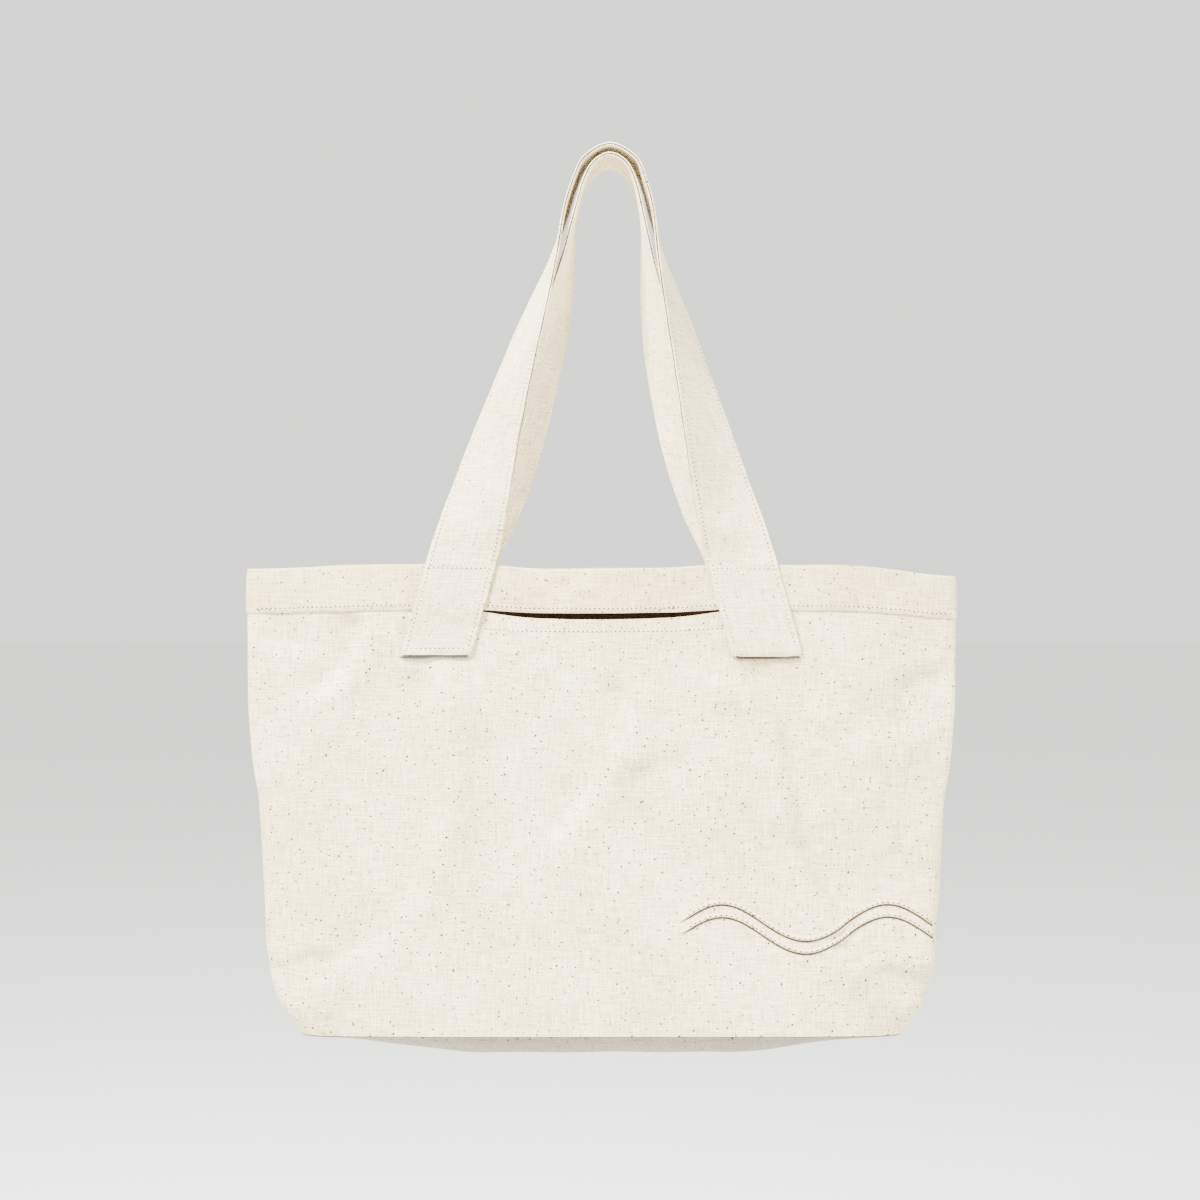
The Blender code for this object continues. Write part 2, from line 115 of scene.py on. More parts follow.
# Each fold: its points (x, down) in mm, height and half width in mm, and the side that stands up
frontFolds = [
    ([(-112, 58), (-106, 90), (-105, 166), (-116, 212), (-151, 264)], 2.6, 11, 1),
    ([(22, 72), (16, 100), (-2, 145), (-42, 202)], 2.0, 12, 1),
    ([(76, 60), (98, 84), (114, 110), (128, 186), (156, 250), (190, 282)], 2.4, 11, -1),
    ([(-150, 34), (-166, 70), (-192, 98)], 2.2, 10, 1),
    ([(232, 62), (205, 70), (180, 84)], 0.9, 10, -1),
    ([(-226, 50), (-196, 56), (-176, 62)], 0.8, 9, -1),
    ([(-206, 286), (-170, 262), (-128, 240)], 1.2, 11, -1),
    ([(205, 290), (172, 262), (140, 246)], 1.6, 8, 1),
    ([(214, 268), (186, 262), (160, 268)], 0.9, 7, -1),
    ([(-214, 262), (-188, 252), (-166, 254)], 0.8, 8, 1),
    ([(190, 180), (212, 214), (222, 240)], 0.9, 9, 1),
    ([(-60, 62), (-52, 100), (-60, 150)], 0.9, 13, 1),
    ([(60, 120), (20, 132), (-10, 150)], 0.8, 12, -1),
    ([(150, 120), (185, 110), (215, 112)], 0.9, 12, -1),
]
backFolds = [
    ([(-108, 62), (-112, 120), (-100, 190), (-60, 250)], 2.4, 12, -1),
    ([(108, 62), (104, 120), (118, 200), (160, 262)], 2.4, 12, 1),
    ([(-20, 60), (0, 130), (30, 200)], 1.6, 14, 1),
    ([(-215, 60), (-180, 80), (-150, 70)], 1.6, 9, -1),
    ([(190, 50), (175, 90), (200, 120)], 1.6, 9, 1),
]


def foldHeight(folds, x, down):
    # How far the folds lift the cloth at places given in metres.
    lift = np.zeros_like(x)
    place = np.stack([x, down], axis=-1) / millimetre
    for route, height, width, side in folds:
        route = np.array(route, float)
        nearest = np.full(x.shape, 1e9)
        signed = np.zeros_like(x)
        along = np.zeros_like(x)
        lengths = np.linalg.norm(np.diff(route, axis=0), axis=1)
        total = lengths.sum()
        before = 0
        for start, end, length in zip(route[:-1], route[1:], lengths):
            run = (end - start) / length
            offset = place - start
            at = np.clip(offset @ run, 0, length)
            away = offset - at[..., None] * run
            distance = np.linalg.norm(away, axis=-1)
            turn = offset[..., 0] * run[1] - offset[..., 1] * run[0]
            closer = distance < nearest
            nearest = np.where(closer, distance, nearest)
            signed = np.where(closer, np.sign(turn) * distance, signed)
            along = np.where(closer, (before + at) / total, along)
            before += length
        fade = ramp(along, 0, 0.12) * (1 - ramp(along, 0.7, 1))
        step = np.tanh(side * signed / (0.6 * width))
        lift += 2.7 * height * millimetre * step * fade * np.exp(-(nearest / (1.9 * width)) ** 2)
    return lift


def makeWall(side):
    # The cloth of one wall as a grid: places, outward directions and half length of each row.
    shape = bagShape
    shares = np.linspace(0, 1, shape["rows"])
    columns = np.linspace(-1, 1, shape["columns"])
    widths = softened(bagHalfWidth * np.interp(shares, shape["widthAt"], shape["width"]), 4)
    depths = softened(bottomDepth * np.interp(shares, shape["depthAt"], shape["depth"]), 9)
    places = np.zeros((shape["rows"], shape["columns"], 3))
    halfLengths = np.zeros(shape["rows"])
    turn = np.linspace(math.pi, 0, 2401)
    for row, share in enumerate(shares):
        power = shape["topSquareness"] + (shape["bottomSquareness"] - shape["topSquareness"]) * share
        x = widths[row] * np.sign(np.cos(turn)) * np.abs(np.cos(turn)) ** (2 / power)
        y = depths[row] * np.abs(np.sin(turn)) ** (2 / power)
        y[0] = y[-1] = 0
        length = np.concatenate([[0], np.cumsum(np.hypot(np.diff(x), np.diff(y)))])
        at = (columns + 1) / 2 * length[-1]
        places[row, :, 0] = np.interp(at, length, x)
        places[row, :, 1] = side * np.interp(at, length, y)
        halfLengths[row] = length[-1] / 2
    down = shares[:, None] * bagHeight * np.ones_like(columns)
    ends = ramp(np.abs(columns), 0.55, 1.0)
    droop = np.where(columns < 0, shape["leftDroop"], shape["rightDroop"])
    droop = droop * ends ** 2 * (1 - shares[:, None]) ** 3
    wave = shape["mouthWave"] * np.sin(columns * 9 + side) * (1 - shares[:, None]) ** 4
    drop = shape["backDrop"] * ramp(shares, 0.5, 1)[:, None] * (1 - ends) if side > 0 else 0
    sag = 1 - ramp(np.abs(columns), 0.5 * shape["middleHalf"], shape["middleHalf"])
    sag = shape["middleSag"] * sag * (1 - shares[:, None]) ** 3
    places[..., 2] = topZ - down * shape["tautness"] - droop + wave - drop - sag
    normals = wallNormals(places, side)
    x = places[..., 0]
    lift = foldHeight(frontFolds if side < 0 else backFolds, x, down)
    for height, size, seed in shape["relief"]:
        lift += height * grain(np.stack([x, down], -1), size, seed + side)
    held = (1 - ramp(np.abs(columns), 0.93, 1)) * ramp(down, *shape["foldsStart"])
    held = held * (1 - 0.8 * ramp(shares, 0.95, 1)[:, None])
    places = places + normals * (lift * held)[..., None]
    places[:, [0, -1], 1] = 0
    return {"side": side, "places": places, "normals": wallNormals(places, side), "half": halfLengths}


def wallNormals(places, side):
    across = np.gradient(places, axis=1)
    downward = np.gradient(places, axis=0)
    normals = unit(np.cross(across, downward))
    normals *= np.sign((normals[..., 1] * side).sum())
    edge = unit(normals[:, [0, -1]] * (1, 0, 1))
    normals[:, [0, -1]] = edge
    return normals


walls = {-1: makeWall(-1), 1: makeWall(1)}


def readGrid(grid, column, share):
    # Reads a wall's grid between its points; column -1 to 1, share 0 to 1.
    rows, columns = grid.shape[:2]
    c = np.clip((np.asarray(column) + 1) / 2 * (columns - 1), 0, columns - 1.0001)
    r = np.clip(np.asarray(share) * (rows - 1), 0, rows - 1.0001)
    ci = c.astype(int)
    ri = r.astype(int)
    cf = (c - ci)[..., None]
    rf = (r - ri)[..., None]
    top = grid[ri, ci] * (1 - cf) + grid[ri, ci + 1] * cf
    low = grid[ri + 1, ci] * (1 - cf) + grid[ri + 1, ci + 1] * cf
    return top * (1 - rf) + low * rf


def onWall(side, column, share, out):
    # Places on a wall, a distance out from its cloth.
    wall = walls[side]
    normal = unit(readGrid(wall["normals"], column, share))
    return readGrid(wall["places"], column, share) + normal * np.asarray(out)[..., None]


def columnAt(side, x, share):
    # The column of a place x metres from the middle, measured along the cloth.
    half = np.interp(share, np.linspace(0, 1, bagShape["rows"]), walls[side]["half"])
    return np.clip(x / half, -1, 1)


def onCloth(side, x, down, out):
    share = np.asarray(down) / bagHeight
    return onWall(side, columnAt(side, np.asarray(x), share), share, out)


# Meshes

def signedVolume(points, faces):
    a = points[faces[:, 0]]
    b = points[faces[:, 1]]
    c = points[faces[:, 2]]
    d = points[faces[:, 3]]
    return (a * np.cross(b, c)).sum() + (a * np.cross(c, d)).sum()


def meshObject(name, points, faces, uvs, material, sharp=40):
    # A closed mesh of quads with its own UV map in metres.
    faces = np.asarray(faces)
    uvs = np.asarray(uvs, float)
    if signedVolume(points, faces) < 0:
        faces = faces[:, ::-1]
    mesh = bpy.data.meshes.new(name)
    mesh.from_pydata(points.tolist(), [], faces.tolist())
    layer = mesh.uv_layers.new(name="cloth")
    layer.data.foreach_set("uv", uvs[faces.ravel()].ravel())
    mesh.validate()
    mesh.shade_smooth()
    mesh.set_sharp_from_angle(angle=math.radians(sharp))
    mesh.materials.append(material)
    piece = bpy.data.objects.new(name, mesh)
    bpy.context.scene.collection.objects.link(piece)
    return piece


def layerMesh(name, outer, inner, uv, material):
    # One layer of cloth between two grids of places, closed round its rim.
    rows, columns = outer.shape[:2]
    count = rows * columns
    points = np.concatenate([outer.reshape(-1, 3), inner.reshape(-1, 3)])
    uvs = np.concatenate([uv.reshape(-1, 2), uv.reshape(-1, 2)])
    index = np.arange(count).reshape(rows, columns)
    a, b = index[:-1, :-1], index[:-1, 1:]
    c, d = index[1:, 1:], index[1:, :-1]
    faces = [
        np.stack([a, b, c, d], -1).reshape(-1, 4),
        np.stack([d, c, b, a], -1).reshape(-1, 4) + count,
    ]
    for line, turned in ((index[0], 1), (index[-1], -1), (index[:, 0], -1), (index[:, -1], 1)):
        near, far = line[:-1], line[1:]
        rim = np.stack([near, near + count, far + count, far], -1)
        faces.append(rim[:, ::turned])
    return meshObject(name, points, np.concatenate(faces), uvs, material)


def wallLayer(name, side, columns, downs, out, thick, material):
    # A layer on a wall: columns (C), downs (R, C) in metres, out (R, C) to its inner face.
    columns = np.broadcast_to(columns, downs.shape)
    share = downs / bagHeight
    half = np.interp(share, np.linspace(0, 1, bagShape["rows"]), walls[side]["half"])
    uv = np.stack([columns * half, -downs], -1)
    outer = onWall(side, columns, share, out + thick)
    inner = onWall(side, columns, share, out)
    return layerMesh(name, outer, inner, uv, material)


def strapMesh(name, sections, uvs, material):
    # A strap: closed sections (N, M, 3) along its length, with both ends closed.
    rows, around = sections.shape[:2]
    index = np.arange(rows * around).reshape(rows, around)
    nextOne = np.roll(index, -1, axis=1)
    faces = [np.stack([index[:-1], nextOne[:-1], nextOne[1:], index[1:]], -1).reshape(-1, 4)]
    half = around // 2
    for row, turned in ((index[0], -1), (index[-1], 1)):
        first = row[:half]
        second = row[half:][::-1]
        cap = np.stack([first[:-1], first[1:], second[1:], second[:-1]], -1)
        faces.append(cap[:, ::turned])
    points = sections.reshape(-1, 3)
    return meshObject(name, points, np.concatenate(faces), uvs.reshape(-1, 2), material)


# Materials: effects that several cloths share

def newGroup(name, inputs, outputs):
    group = bpy.data.node_groups.new(name, "ShaderNodeTree")
    for label, kind in inputs:
        group.interface.new_socket(label, in_out="INPUT", socket_type=kind)
    for label, kind in outputs:
        group.interface.new_socket(label, in_out="OUTPUT", socket_type=kind)
    return group, group.nodes.new("NodeGroupInput"), group.nodes.new("NodeGroupOutput")


def mathNode(tree, operation, first, second=None, clamp=False):
    node = tree.nodes.new("ShaderNodeMath")
    node.operation = operation
    node.use_clamp = clamp
    for socket, value in zip(node.inputs, (first, second)):
        if value is None:
            continue
        if isinstance(value, (int, float)):
            socket.default_value = value
        else:
            tree.links.new(value, socket)
    return node.outputs[0]


def scaledVector(tree, vector, scale, turn=0):
    node = tree.nodes.new("ShaderNodeMapping")
    node.inputs["Scale"].default_value = scale
    node.inputs["Rotation"].default_value = (0, 0, turn)
    tree.links.new(vector, node.inputs["Vector"])
    return node.outputs[0]


def noiseValue(tree, vector, scale, detail=2):
    node = tree.nodes.new("ShaderNodeTexNoise")
    node.inputs["Scale"].default_value = scale
    node.inputs["Detail"].default_value = detail
    tree.links.new(vector, node.inputs["Vector"])
    return node.outputs["Fac"]


def rangeNode(tree, value, fromLow, fromHigh, toLow=0.0, toHigh=1.0, smooth=False):
    node = tree.nodes.new("ShaderNodeMapRange")
    node.interpolation_type = "SMOOTHSTEP" if smooth else "LINEAR"
    limits = {"From Min": fromLow, "From Max": fromHigh, "To Min": toLow, "To Max": toHigh}
    for label, amount in limits.items():
        if isinstance(amount, (int, float)):
            node.inputs[label].default_value = amount
        else:
            tree.links.new(amount, node.inputs[label])
    tree.links.new(value, node.inputs["Value"])
    return node.outputs["Result"]


# Threads of the weave: how they wander, how their thick places stretch, and how high each stands
weaveShape = {
    "wanderScale": 90,
    "wander": 1.6,
    "alongWarp": (900, 60, 1),
    "alongWeft": (60, 900, 1),
    "threadHeight": 0.35,
    "slubHeight": 1.3,
}


def makeWeaveGroup():
    # Plain weave: over-and-under threads with thick and thin places.
    group, given, put = newGroup(
        "plainWeave",
        [("Vector", "NodeSocketVector"), ("Threads per metre", "NodeSocketFloat")],
        [("Height", "NodeSocketFloat"), ("Slubs", "NodeSocketFloat")],
    )
    vector = given.outputs["Vector"]
    split = group.nodes.new("ShaderNodeSeparateXYZ")
    group.links.new(vector, split.inputs[0])
    wander = noiseValue(group, vector, weaveShape["wanderScale"])
    wander = mathNode(group, "MULTIPLY", wander, weaveShape["wander"])
    ripples = []
    for axis in (0, 1):
        count = mathNode(group, "MULTIPLY", split.outputs[axis], given.outputs["Threads per metre"])
        count = mathNode(group, "ADD", count, wander)
        ripples.append(mathNode(group, "SINE", mathNode(group, "MULTIPLY", count, math.pi)))
    crossing = mathNode(group, "MULTIPLY", ripples[0], ripples[1])
    warp = noiseValue(group, scaledVector(group, vector, weaveShape["alongWarp"]), 1)
    weft = noiseValue(group, scaledVector(group, vector, weaveShape["alongWeft"]), 1)
    slubs = mathNode(group, "SUBTRACT", mathNode(group, "ADD", warp, weft), 1)
    threads = mathNode(group, "MULTIPLY", crossing, weaveShape["threadHeight"])
    thickPlaces = mathNode(group, "MULTIPLY", slubs, weaveShape["slubHeight"])
    height = mathNode(group, "ADD", threads, thickPlaces)
    group.links.new(height, put.inputs["Height"])
    group.links.new(slubs, put.inputs["Slubs"])
    return group


# Husk: cells per metre, stretch, the share of cells with none, and the largest radius in cells
fleckSizes = [
    (140, (1, 1.3, 1), 0.3, 0.085),
    (66, (1.2, 1, 1), 0.5, 0.047),
    (290, (1, 1.2, 1), 0.4, 0.115),
]


def makeFleckGroup():
    # Brown bits of seed husk: most cells have none, a few have a small or a large one.
    group, given, put = newGroup(
        "seedFlecks",
        [("Vector", "NodeSocketVector"), ("Amount", "NodeSocketFloat")],
        [("Mask", "NodeSocketFloat")],
    )
    masks = []
    for scale, stretch, least, biggest in fleckSizes:
        cells = group.nodes.new("ShaderNodeTexVoronoi")
        cells.voronoi_dimensions = "2D"
        cells.inputs["Scale"].default_value = scale
        place = scaledVector(group, given.outputs["Vector"], stretch, 0.3)
        group.links.new(place, cells.inputs["Vector"])
        chance = group.nodes.new("ShaderNodeSeparateColor")
        group.links.new(cells.outputs["Color"], chance.inputs[0])
        chosen = mathNode(group, "GREATER_THAN", chance.outputs[0], least)
        radius = rangeNode(group, chance.outputs[0], least, 1, 0.4 * biggest, biggest)
        radius = mathNode(group, "MULTIPLY", radius, chosen)
        radius = mathNode(group, "MULTIPLY", radius, given.outputs["Amount"])
        inside = mathNode(group, "SUBTRACT", radius, cells.outputs["Distance"])
        masks.append(rangeNode(group, inside, 0, 0.01))
    larger = mathNode(group, "MAXIMUM", masks[0], masks[1])
    faint = mathNode(group, "MULTIPLY", masks[2], 0.65)
    group.links.new(mathNode(group, "MAXIMUM", larger, faint), put.inputs["Mask"])
    return group


# Tones of the cloth: scale and detail of each, the range that counts, and whether it is smooth
mottleTones = {
    "Tint": (11, 2, 0.36, 0.62, True),
    "Large": (14, 3, 0.35, 0.65, True),
    "Small": (160, 3, 0.3, 0.7, False),
    "Fine": (800, 2, 0.3, 0.7, False),
}


def makeMottleGroup():
    # Soft uneven tone, larger patches and small ones.
    group, given, put = newGroup(
        "softMottle",
        [("Vector", "NodeSocketVector")],
        [(size, "NodeSocketFloat") for size in mottleTones],
    )
    moved = group.nodes.new("ShaderNodeVectorMath")
    moved.inputs[1].default_value = (3.1, 1.7, 0.4)
    group.links.new(given.outputs["Vector"], moved.inputs[0])
    for size, (scale, detail, low, high, smooth) in mottleTones.items():
        vector = moved.outputs[0] if size == "Tint" else given.outputs["Vector"]
        tone = rangeNode(group, noiseValue(group, vector, scale, detail), low, high, smooth=smooth)
        group.links.new(tone, put.inputs[size])
    return group


effects = {"weave": makeWeaveGroup(), "flecks": makeFleckGroup(), "mottle": makeMottleGroup()}


def effectNode(tree, effect, vector, label=None, amount=None):
    node = tree.nodes.new("ShaderNodeGroup")
    node.node_tree = effects[effect]
    tree.links.new(vector, node.inputs["Vector"])
    if label:
        node.inputs[label].default_value = amount
    return node


def mixedColour(tree, factor, first, second):
    node = tree.nodes.new("ShaderNodeMix")
    node.data_type = "RGBA"
    tree.links.new(factor, node.inputs["Factor"])
    for socket, value in ((node.inputs[6], first), (node.inputs[7], second)):
        if isinstance(value, tuple):
            socket.default_value = (*value, 1)
        else:
            tree.links.new(value, socket)
    return node.outputs[2]


# Each cloth: its colours, threads per metre, amount of husk and depth of weave in metres
cloths = {
    "bodyCanvas": {"light": (0.90, 0.82, 0.49), "warm": (0.93, 0.75, 0.46), "dark": (0.55, 0.43, 0.23),
                   "threads": 1050, "flecks": 1.3, "bump": 0.00030},
    # The inner wall's cloth, with painted shade behind the pocket's mouth
    "innerCanvas": {"light": (0.90, 0.82, 0.49), "warm": (0.93, 0.75, 0.46), "dark": (0.55, 0.43, 0.23),
                    "threads": 1050, "flecks": 1.3, "bump": 0.00030, "paintedMouthShade": True},
    # Painted shade: the bottom's cloth is coloured darker than the walls
    "bottomCanvasPaintedShade": {"light": (0.25, 0.22, 0.155), "warm": (0.26, 0.21, 0.15), "dark": (0.17, 0.14, 0.09),
                     "threads": 1050, "flecks": 1.3, "bump": 0.00030},
    "bandCanvas": {"light": (0.82, 0.70, 0.40), "warm": (0.84, 0.66, 0.375), "dark": (0.50, 0.38, 0.20),
                   "threads": 1050, "flecks": 1.2, "bump": 0.00030},
    # The strap's cloth, with a painted shade line along each folded edge
    "strapCanvas": {"light": (0.86, 0.775, 0.47), "warm": (0.87, 0.73, 0.44), "dark": (0.55, 0.44, 0.25),
                    "threads": 1150, "flecks": 1.0, "bump": 0.00024, "paintedEdgeShade": True},
    "seamCanvas": {"light": (0.78, 0.69, 0.52), "warm": (0.80, 0.67, 0.50), "dark": (0.58, 0.46, 0.31),
                   "threads": 1050, "flecks": 1.0, "bump": 0.00030},
    # Painted shade: the strap ends' turned-under lips are coloured near black
    "lipCanvasPaintedShade": {"light": (0.07, 0.065, 0.05), "warm": (0.075, 0.065, 0.048), "dark": (0.03, 0.027, 0.02),
                  "threads": 1150, "flecks": 0.6, "bump": 0.00024},
}


# What all the cloths share
clothFinish = {
    "tones": {"Large": 0.35, "Small": 0.25, "Fine": 0.40},
    "slubShade": 1.8,
    "threadShade": 0.12,
    "warmth": 0.6,
    "husk": (0.05, 0.03, 0.015),
    "roughness": (0.97, 0.86),
    "specular": 0.25,
    "sheen": 0.12,
    "sheenRoughness": 0.5,
    "bumpStrength": 0.7,
}

# Painted shade on the strip of lining in the pocket's mouth: where it fades, in metres, and its colour
paintedMouthShade = {
    "across": (0.074, 0.092),
    "below": 0.003,
    "upAndDown": (0.006, 0.011),
    "colour": (0.07, 0.035, 0.018),
}

# The painted shade line between a strap's two layers, and the lane of the UV map that each strap has
paintedEdgeShade = {"from": 0.02215, "to": 0.02235, "lane": 0.3, "colour": (0.075, 0.055, 0.035)}


def makeCloth(name):
    values = cloths[name]
    finish = clothFinish
    material = bpy.data.materials.new(name)
    material.use_nodes = True
    tree = material.node_tree
    shader = tree.nodes["Principled BSDF"]
    uv = tree.nodes.new("ShaderNodeUVMap")
    uv.uv_map = "cloth"
    weave = effectNode(tree, "weave", uv.outputs[0], "Threads per metre", values["threads"])
    flecks = effectNode(tree, "flecks", uv.outputs[0], "Amount", values["flecks"])
    mottle = effectNode(tree, "mottle", uv.outputs[0])
    large, small, fine = (
        mathNode(tree, "MULTIPLY", mottle.outputs[size], share) for size, share in finish["tones"].items()
    )
    shade = mathNode(tree, "ADD", mathNode(tree, "ADD", large, small), fine)
    slubs = mathNode(tree, "MULTIPLY", weave.outputs["Slubs"], finish["slubShade"])
    threads = mathNode(tree, "MULTIPLY", weave.outputs["Height"], finish["threadShade"])
    shade = mathNode(tree, "SUBTRACT", shade, slubs)
    shade = mathNode(tree, "SUBTRACT", shade, threads, clamp=True)
    warmth = mathNode(tree, "MULTIPLY", mottle.outputs["Tint"], finish["warmth"])
    light = mixedColour(tree, warmth, values["light"], values["warm"])
    cloth = mixedColour(tree, shade, light, values["dark"])
    cloth = mixedColour(tree, flecks.outputs["Mask"], cloth, finish["husk"])
    # Painted shade in the pocket's mouth and along the straps' folded edges
    if "paintedMouthShade" in values:
        cloth = paintMouthShade(tree, uv.outputs[0], cloth)
    if "paintedEdgeShade" in values:
        cloth = paintEdgeShade(tree, uv.outputs[0], cloth)
    tree.links.new(cloth, shader.inputs["Base Color"])
    rough = rangeNode(tree, weave.outputs["Height"], -1, 1, *finish["roughness"])
    tree.links.new(rough, shader.inputs["Roughness"])
    shader.inputs["Specular IOR Level"].default_value = finish["specular"]
    shader.inputs["Sheen Weight"].default_value = finish["sheen"]
    shader.inputs["Sheen Roughness"].default_value = finish["sheenRoughness"]
    addBump(tree, weave.outputs["Height"], finish["bumpStrength"], values["bump"])
    return material


def addBump(tree, height, strength, distance):
    bump = tree.nodes.new("ShaderNodeBump")
    bump.inputs["Strength"].default_value = strength
    bump.inputs["Distance"].default_value = distance
    tree.links.new(height, bump.inputs["Height"])
    tree.links.new(bump.outputs[0], tree.nodes["Principled BSDF"].inputs["Normal"])


def paintMouthShade(tree, vector, cloth):
    # Painted shade on the strip of lining that the pocket's mouth shows.
    split = tree.nodes.new("ShaderNodeSeparateXYZ")
    tree.links.new(vector, split.inputs[0])
    across = mathNode(tree, "ABSOLUTE", split.outputs[0])
    across = rangeNode(tree, across, *paintedMouthShade["across"], 1, 0, smooth=True)
    middle = -(bandHeight + paintedMouthShade["below"])
    downward = mathNode(tree, "ABSOLUTE", mathNode(tree, "SUBTRACT", split.outputs[1], middle))
    downward = rangeNode(tree, downward, *paintedMouthShade["upAndDown"], 1, 0, smooth=True)
    return mixedColour(tree, mathNode(tree, "MULTIPLY", across, downward), cloth, paintedMouthShade["colour"])


def paintEdgeShade(tree, vector, cloth):
    # Painted shade: the dark line where a strap's two folded layers meet along its edge.
    split = tree.nodes.new("ShaderNodeSeparateXYZ")
    tree.links.new(vector, split.inputs[0])
    lane = mathNode(tree, "MODULO", split.outputs[0], 2 * paintedEdgeShade["lane"])
    across = mathNode(tree, "ABSOLUTE", mathNode(tree, "SUBTRACT", lane, paintedEdgeShade["lane"]))
    across = rangeNode(tree, across, paintedEdgeShade["from"], paintedEdgeShade["to"])
    return mixedColour(tree, across, cloth, paintedEdgeShade["colour"])


threadFinish = {
    "light": (0.86, 0.82, 0.73),
    "dark": (0.74, 0.69, 0.59),
    "roughness": (0.6, 0.8),
    "plies": 900,
    "bump": 0.0001,
    # Colours of the painted shade in needle holes, creases and fold lines
    "holeShade": (0.085, 0.06, 0.035),
    "holeDeepShade": (0.03, 0.02, 0.012),
}


def makeThread():
    # Spun thread: two plies that twist along each stitch.
    material = bpy.data.materials.new("cottonThread")
    material.use_nodes = True
    tree = material.node_tree
    shader = tree.nodes["Principled BSDF"]
    place = tree.nodes.new("ShaderNodeTexCoord").outputs["Object"]
    plies = tree.nodes.new("ShaderNodeTexWave")
    plies.inputs["Scale"].default_value = threadFinish["plies"]
    plies.inputs["Distortion"].default_value = 1.5
    plies.bands_direction = "DIAGONAL"
    tree.links.new(place, plies.inputs["Vector"])
    uneven = noiseValue(tree, place, 300)
    colour = mixedColour(tree, uneven, threadFinish["light"], threadFinish["dark"])
    tree.links.new(colour, shader.inputs["Base Color"])
    rough = rangeNode(tree, uneven, 0, 1, *threadFinish["roughness"])
    tree.links.new(rough, shader.inputs["Roughness"])
    shader.inputs["Sheen Weight"].default_value = 0.2
    addBump(tree, plies.outputs["Fac"], 0.5, threadFinish["bump"])
    return material


def makeHoleShadeFinish():
    # Painted shade in the pinch where the needle went in; creases and fold lines use it too.
    material = bpy.data.materials.new("needleHolePaintedShade")
    material.use_nodes = True
    tree = material.node_tree
    shader = tree.nodes["Principled BSDF"]
    uneven = noiseValue(tree, tree.nodes.new("ShaderNodeTexCoord").outputs["Object"], 700)
    colour = mixedColour(tree, uneven, threadFinish["holeShade"], threadFinish["holeDeepShade"])
    tree.links.new(colour, shader.inputs["Base Color"])
    shader.inputs["Roughness"].default_value = 1
    return material


finishes = {name: makeCloth(name) for name in cloths}
finishes["thread"] = makeThread()
finishes["holeShade"] = makeHoleShadeFinish()
print("finishes made")

# Stitches, one small mesh copied along each row
stitchShape = {
    "pitch": 3.0 * millimetre,
    "length": 1.75 * millimetre,
    "width": 0.6 * millimetre,
    "height": 0.46 * millimetre,
    "lift": 0.06 * millimetre,
    "wander": 0.06 * millimetre,
    "tilt": 0.035,
    "holeShade": (1.35 * millimetre, 0.95 * millimetre, 0.4 * millimetre),
}


def smallShape(segments, rings, size):
    # A small round shape made as a sphere, squeezed to size, and read as points and faces.
    bpy.ops.object.select_all(action="DESELECT")
    bpy.ops.mesh.primitive_uv_sphere_add(segments=segments, ring_count=rings, radius=0.5)
    ball = bpy.context.object
    bpy.ops.object.mode_set(mode="EDIT")
    bpy.ops.mesh.select_all(action="SELECT")
    bpy.ops.transform.rotate(value=math.pi / 2, orient_axis="Y", center_override=(0, 0, 0))
    bpy.ops.transform.resize(value=size, center_override=(0, 0, 0))
    bpy.ops.mesh.quads_convert_to_tris()
    bpy.ops.object.mode_set(mode="OBJECT")
    points = np.array([v.co for v in ball.data.vertices], float)
    faces = np.array(sorted(p.vertices[:] for p in ball.data.polygons))  # the same order each run
    bpy.data.objects.remove(ball, do_unlink=True)
    return points, faces


threadBit = smallShape(8, 6, (stitchShape["length"], stitchShape["width"], stitchShape["height"]))
# Small dark bit that marks each needle hole as painted shade
holeShadeBit = smallShape(6, 4, stitchShape["holeShade"])


def copiesMesh(name, shape, centres, runs, ups, material):
    # One mesh of a small shape copied to each centre, along its run and with its top up.
    points, faces = shape
    sides = unit(np.cross(ups, runs))
    ups = np.cross(runs, sides)
    turned = (
        points[None, :, 0, None] * runs[:, None]
        + points[None, :, 1, None] * sides[:, None]
        + points[None, :, 2, None] * ups[:, None]
        + centres[:, None]
    )
    offsets = (np.arange(len(centres)) * len(points))[:, None, None]
    mesh = bpy.data.meshes.new(name)
    corners = (faces[None] + offsets).reshape(-1, 3)
    mesh.from_pydata(turned.reshape(-1, 3).tolist(), [], corners.tolist())
    mesh.shade_smooth()
    mesh.materials.append(material)
    piece = bpy.data.objects.new(name, mesh)
    bpy.context.scene.collection.objects.link(piece)
    return piece


def readLine(values, length, at):
    return np.stack([np.interp(at, length, values[:, k]) for k in range(3)], -1)


def spacedAlong(line, ups, pitch):
    # Even steps along a line: centres, directions and the way up.
    steps = np.linalg.norm(np.diff(line, axis=0), axis=1)
    length = np.concatenate([[0], np.cumsum(steps)])
    count = max(int(length[-1] / pitch), 1)
    at = (np.arange(count) + 0.5) * length[-1] / count
    centres = readLine(line, length, at)
    ahead = readLine(line, length, at + 0.3 * millimetre)
    behind = readLine(line, length, at - 0.3 * millimetre)
    return centres, unit(ahead - behind), unit(readLine(ups, length, at)), length[-1] / count


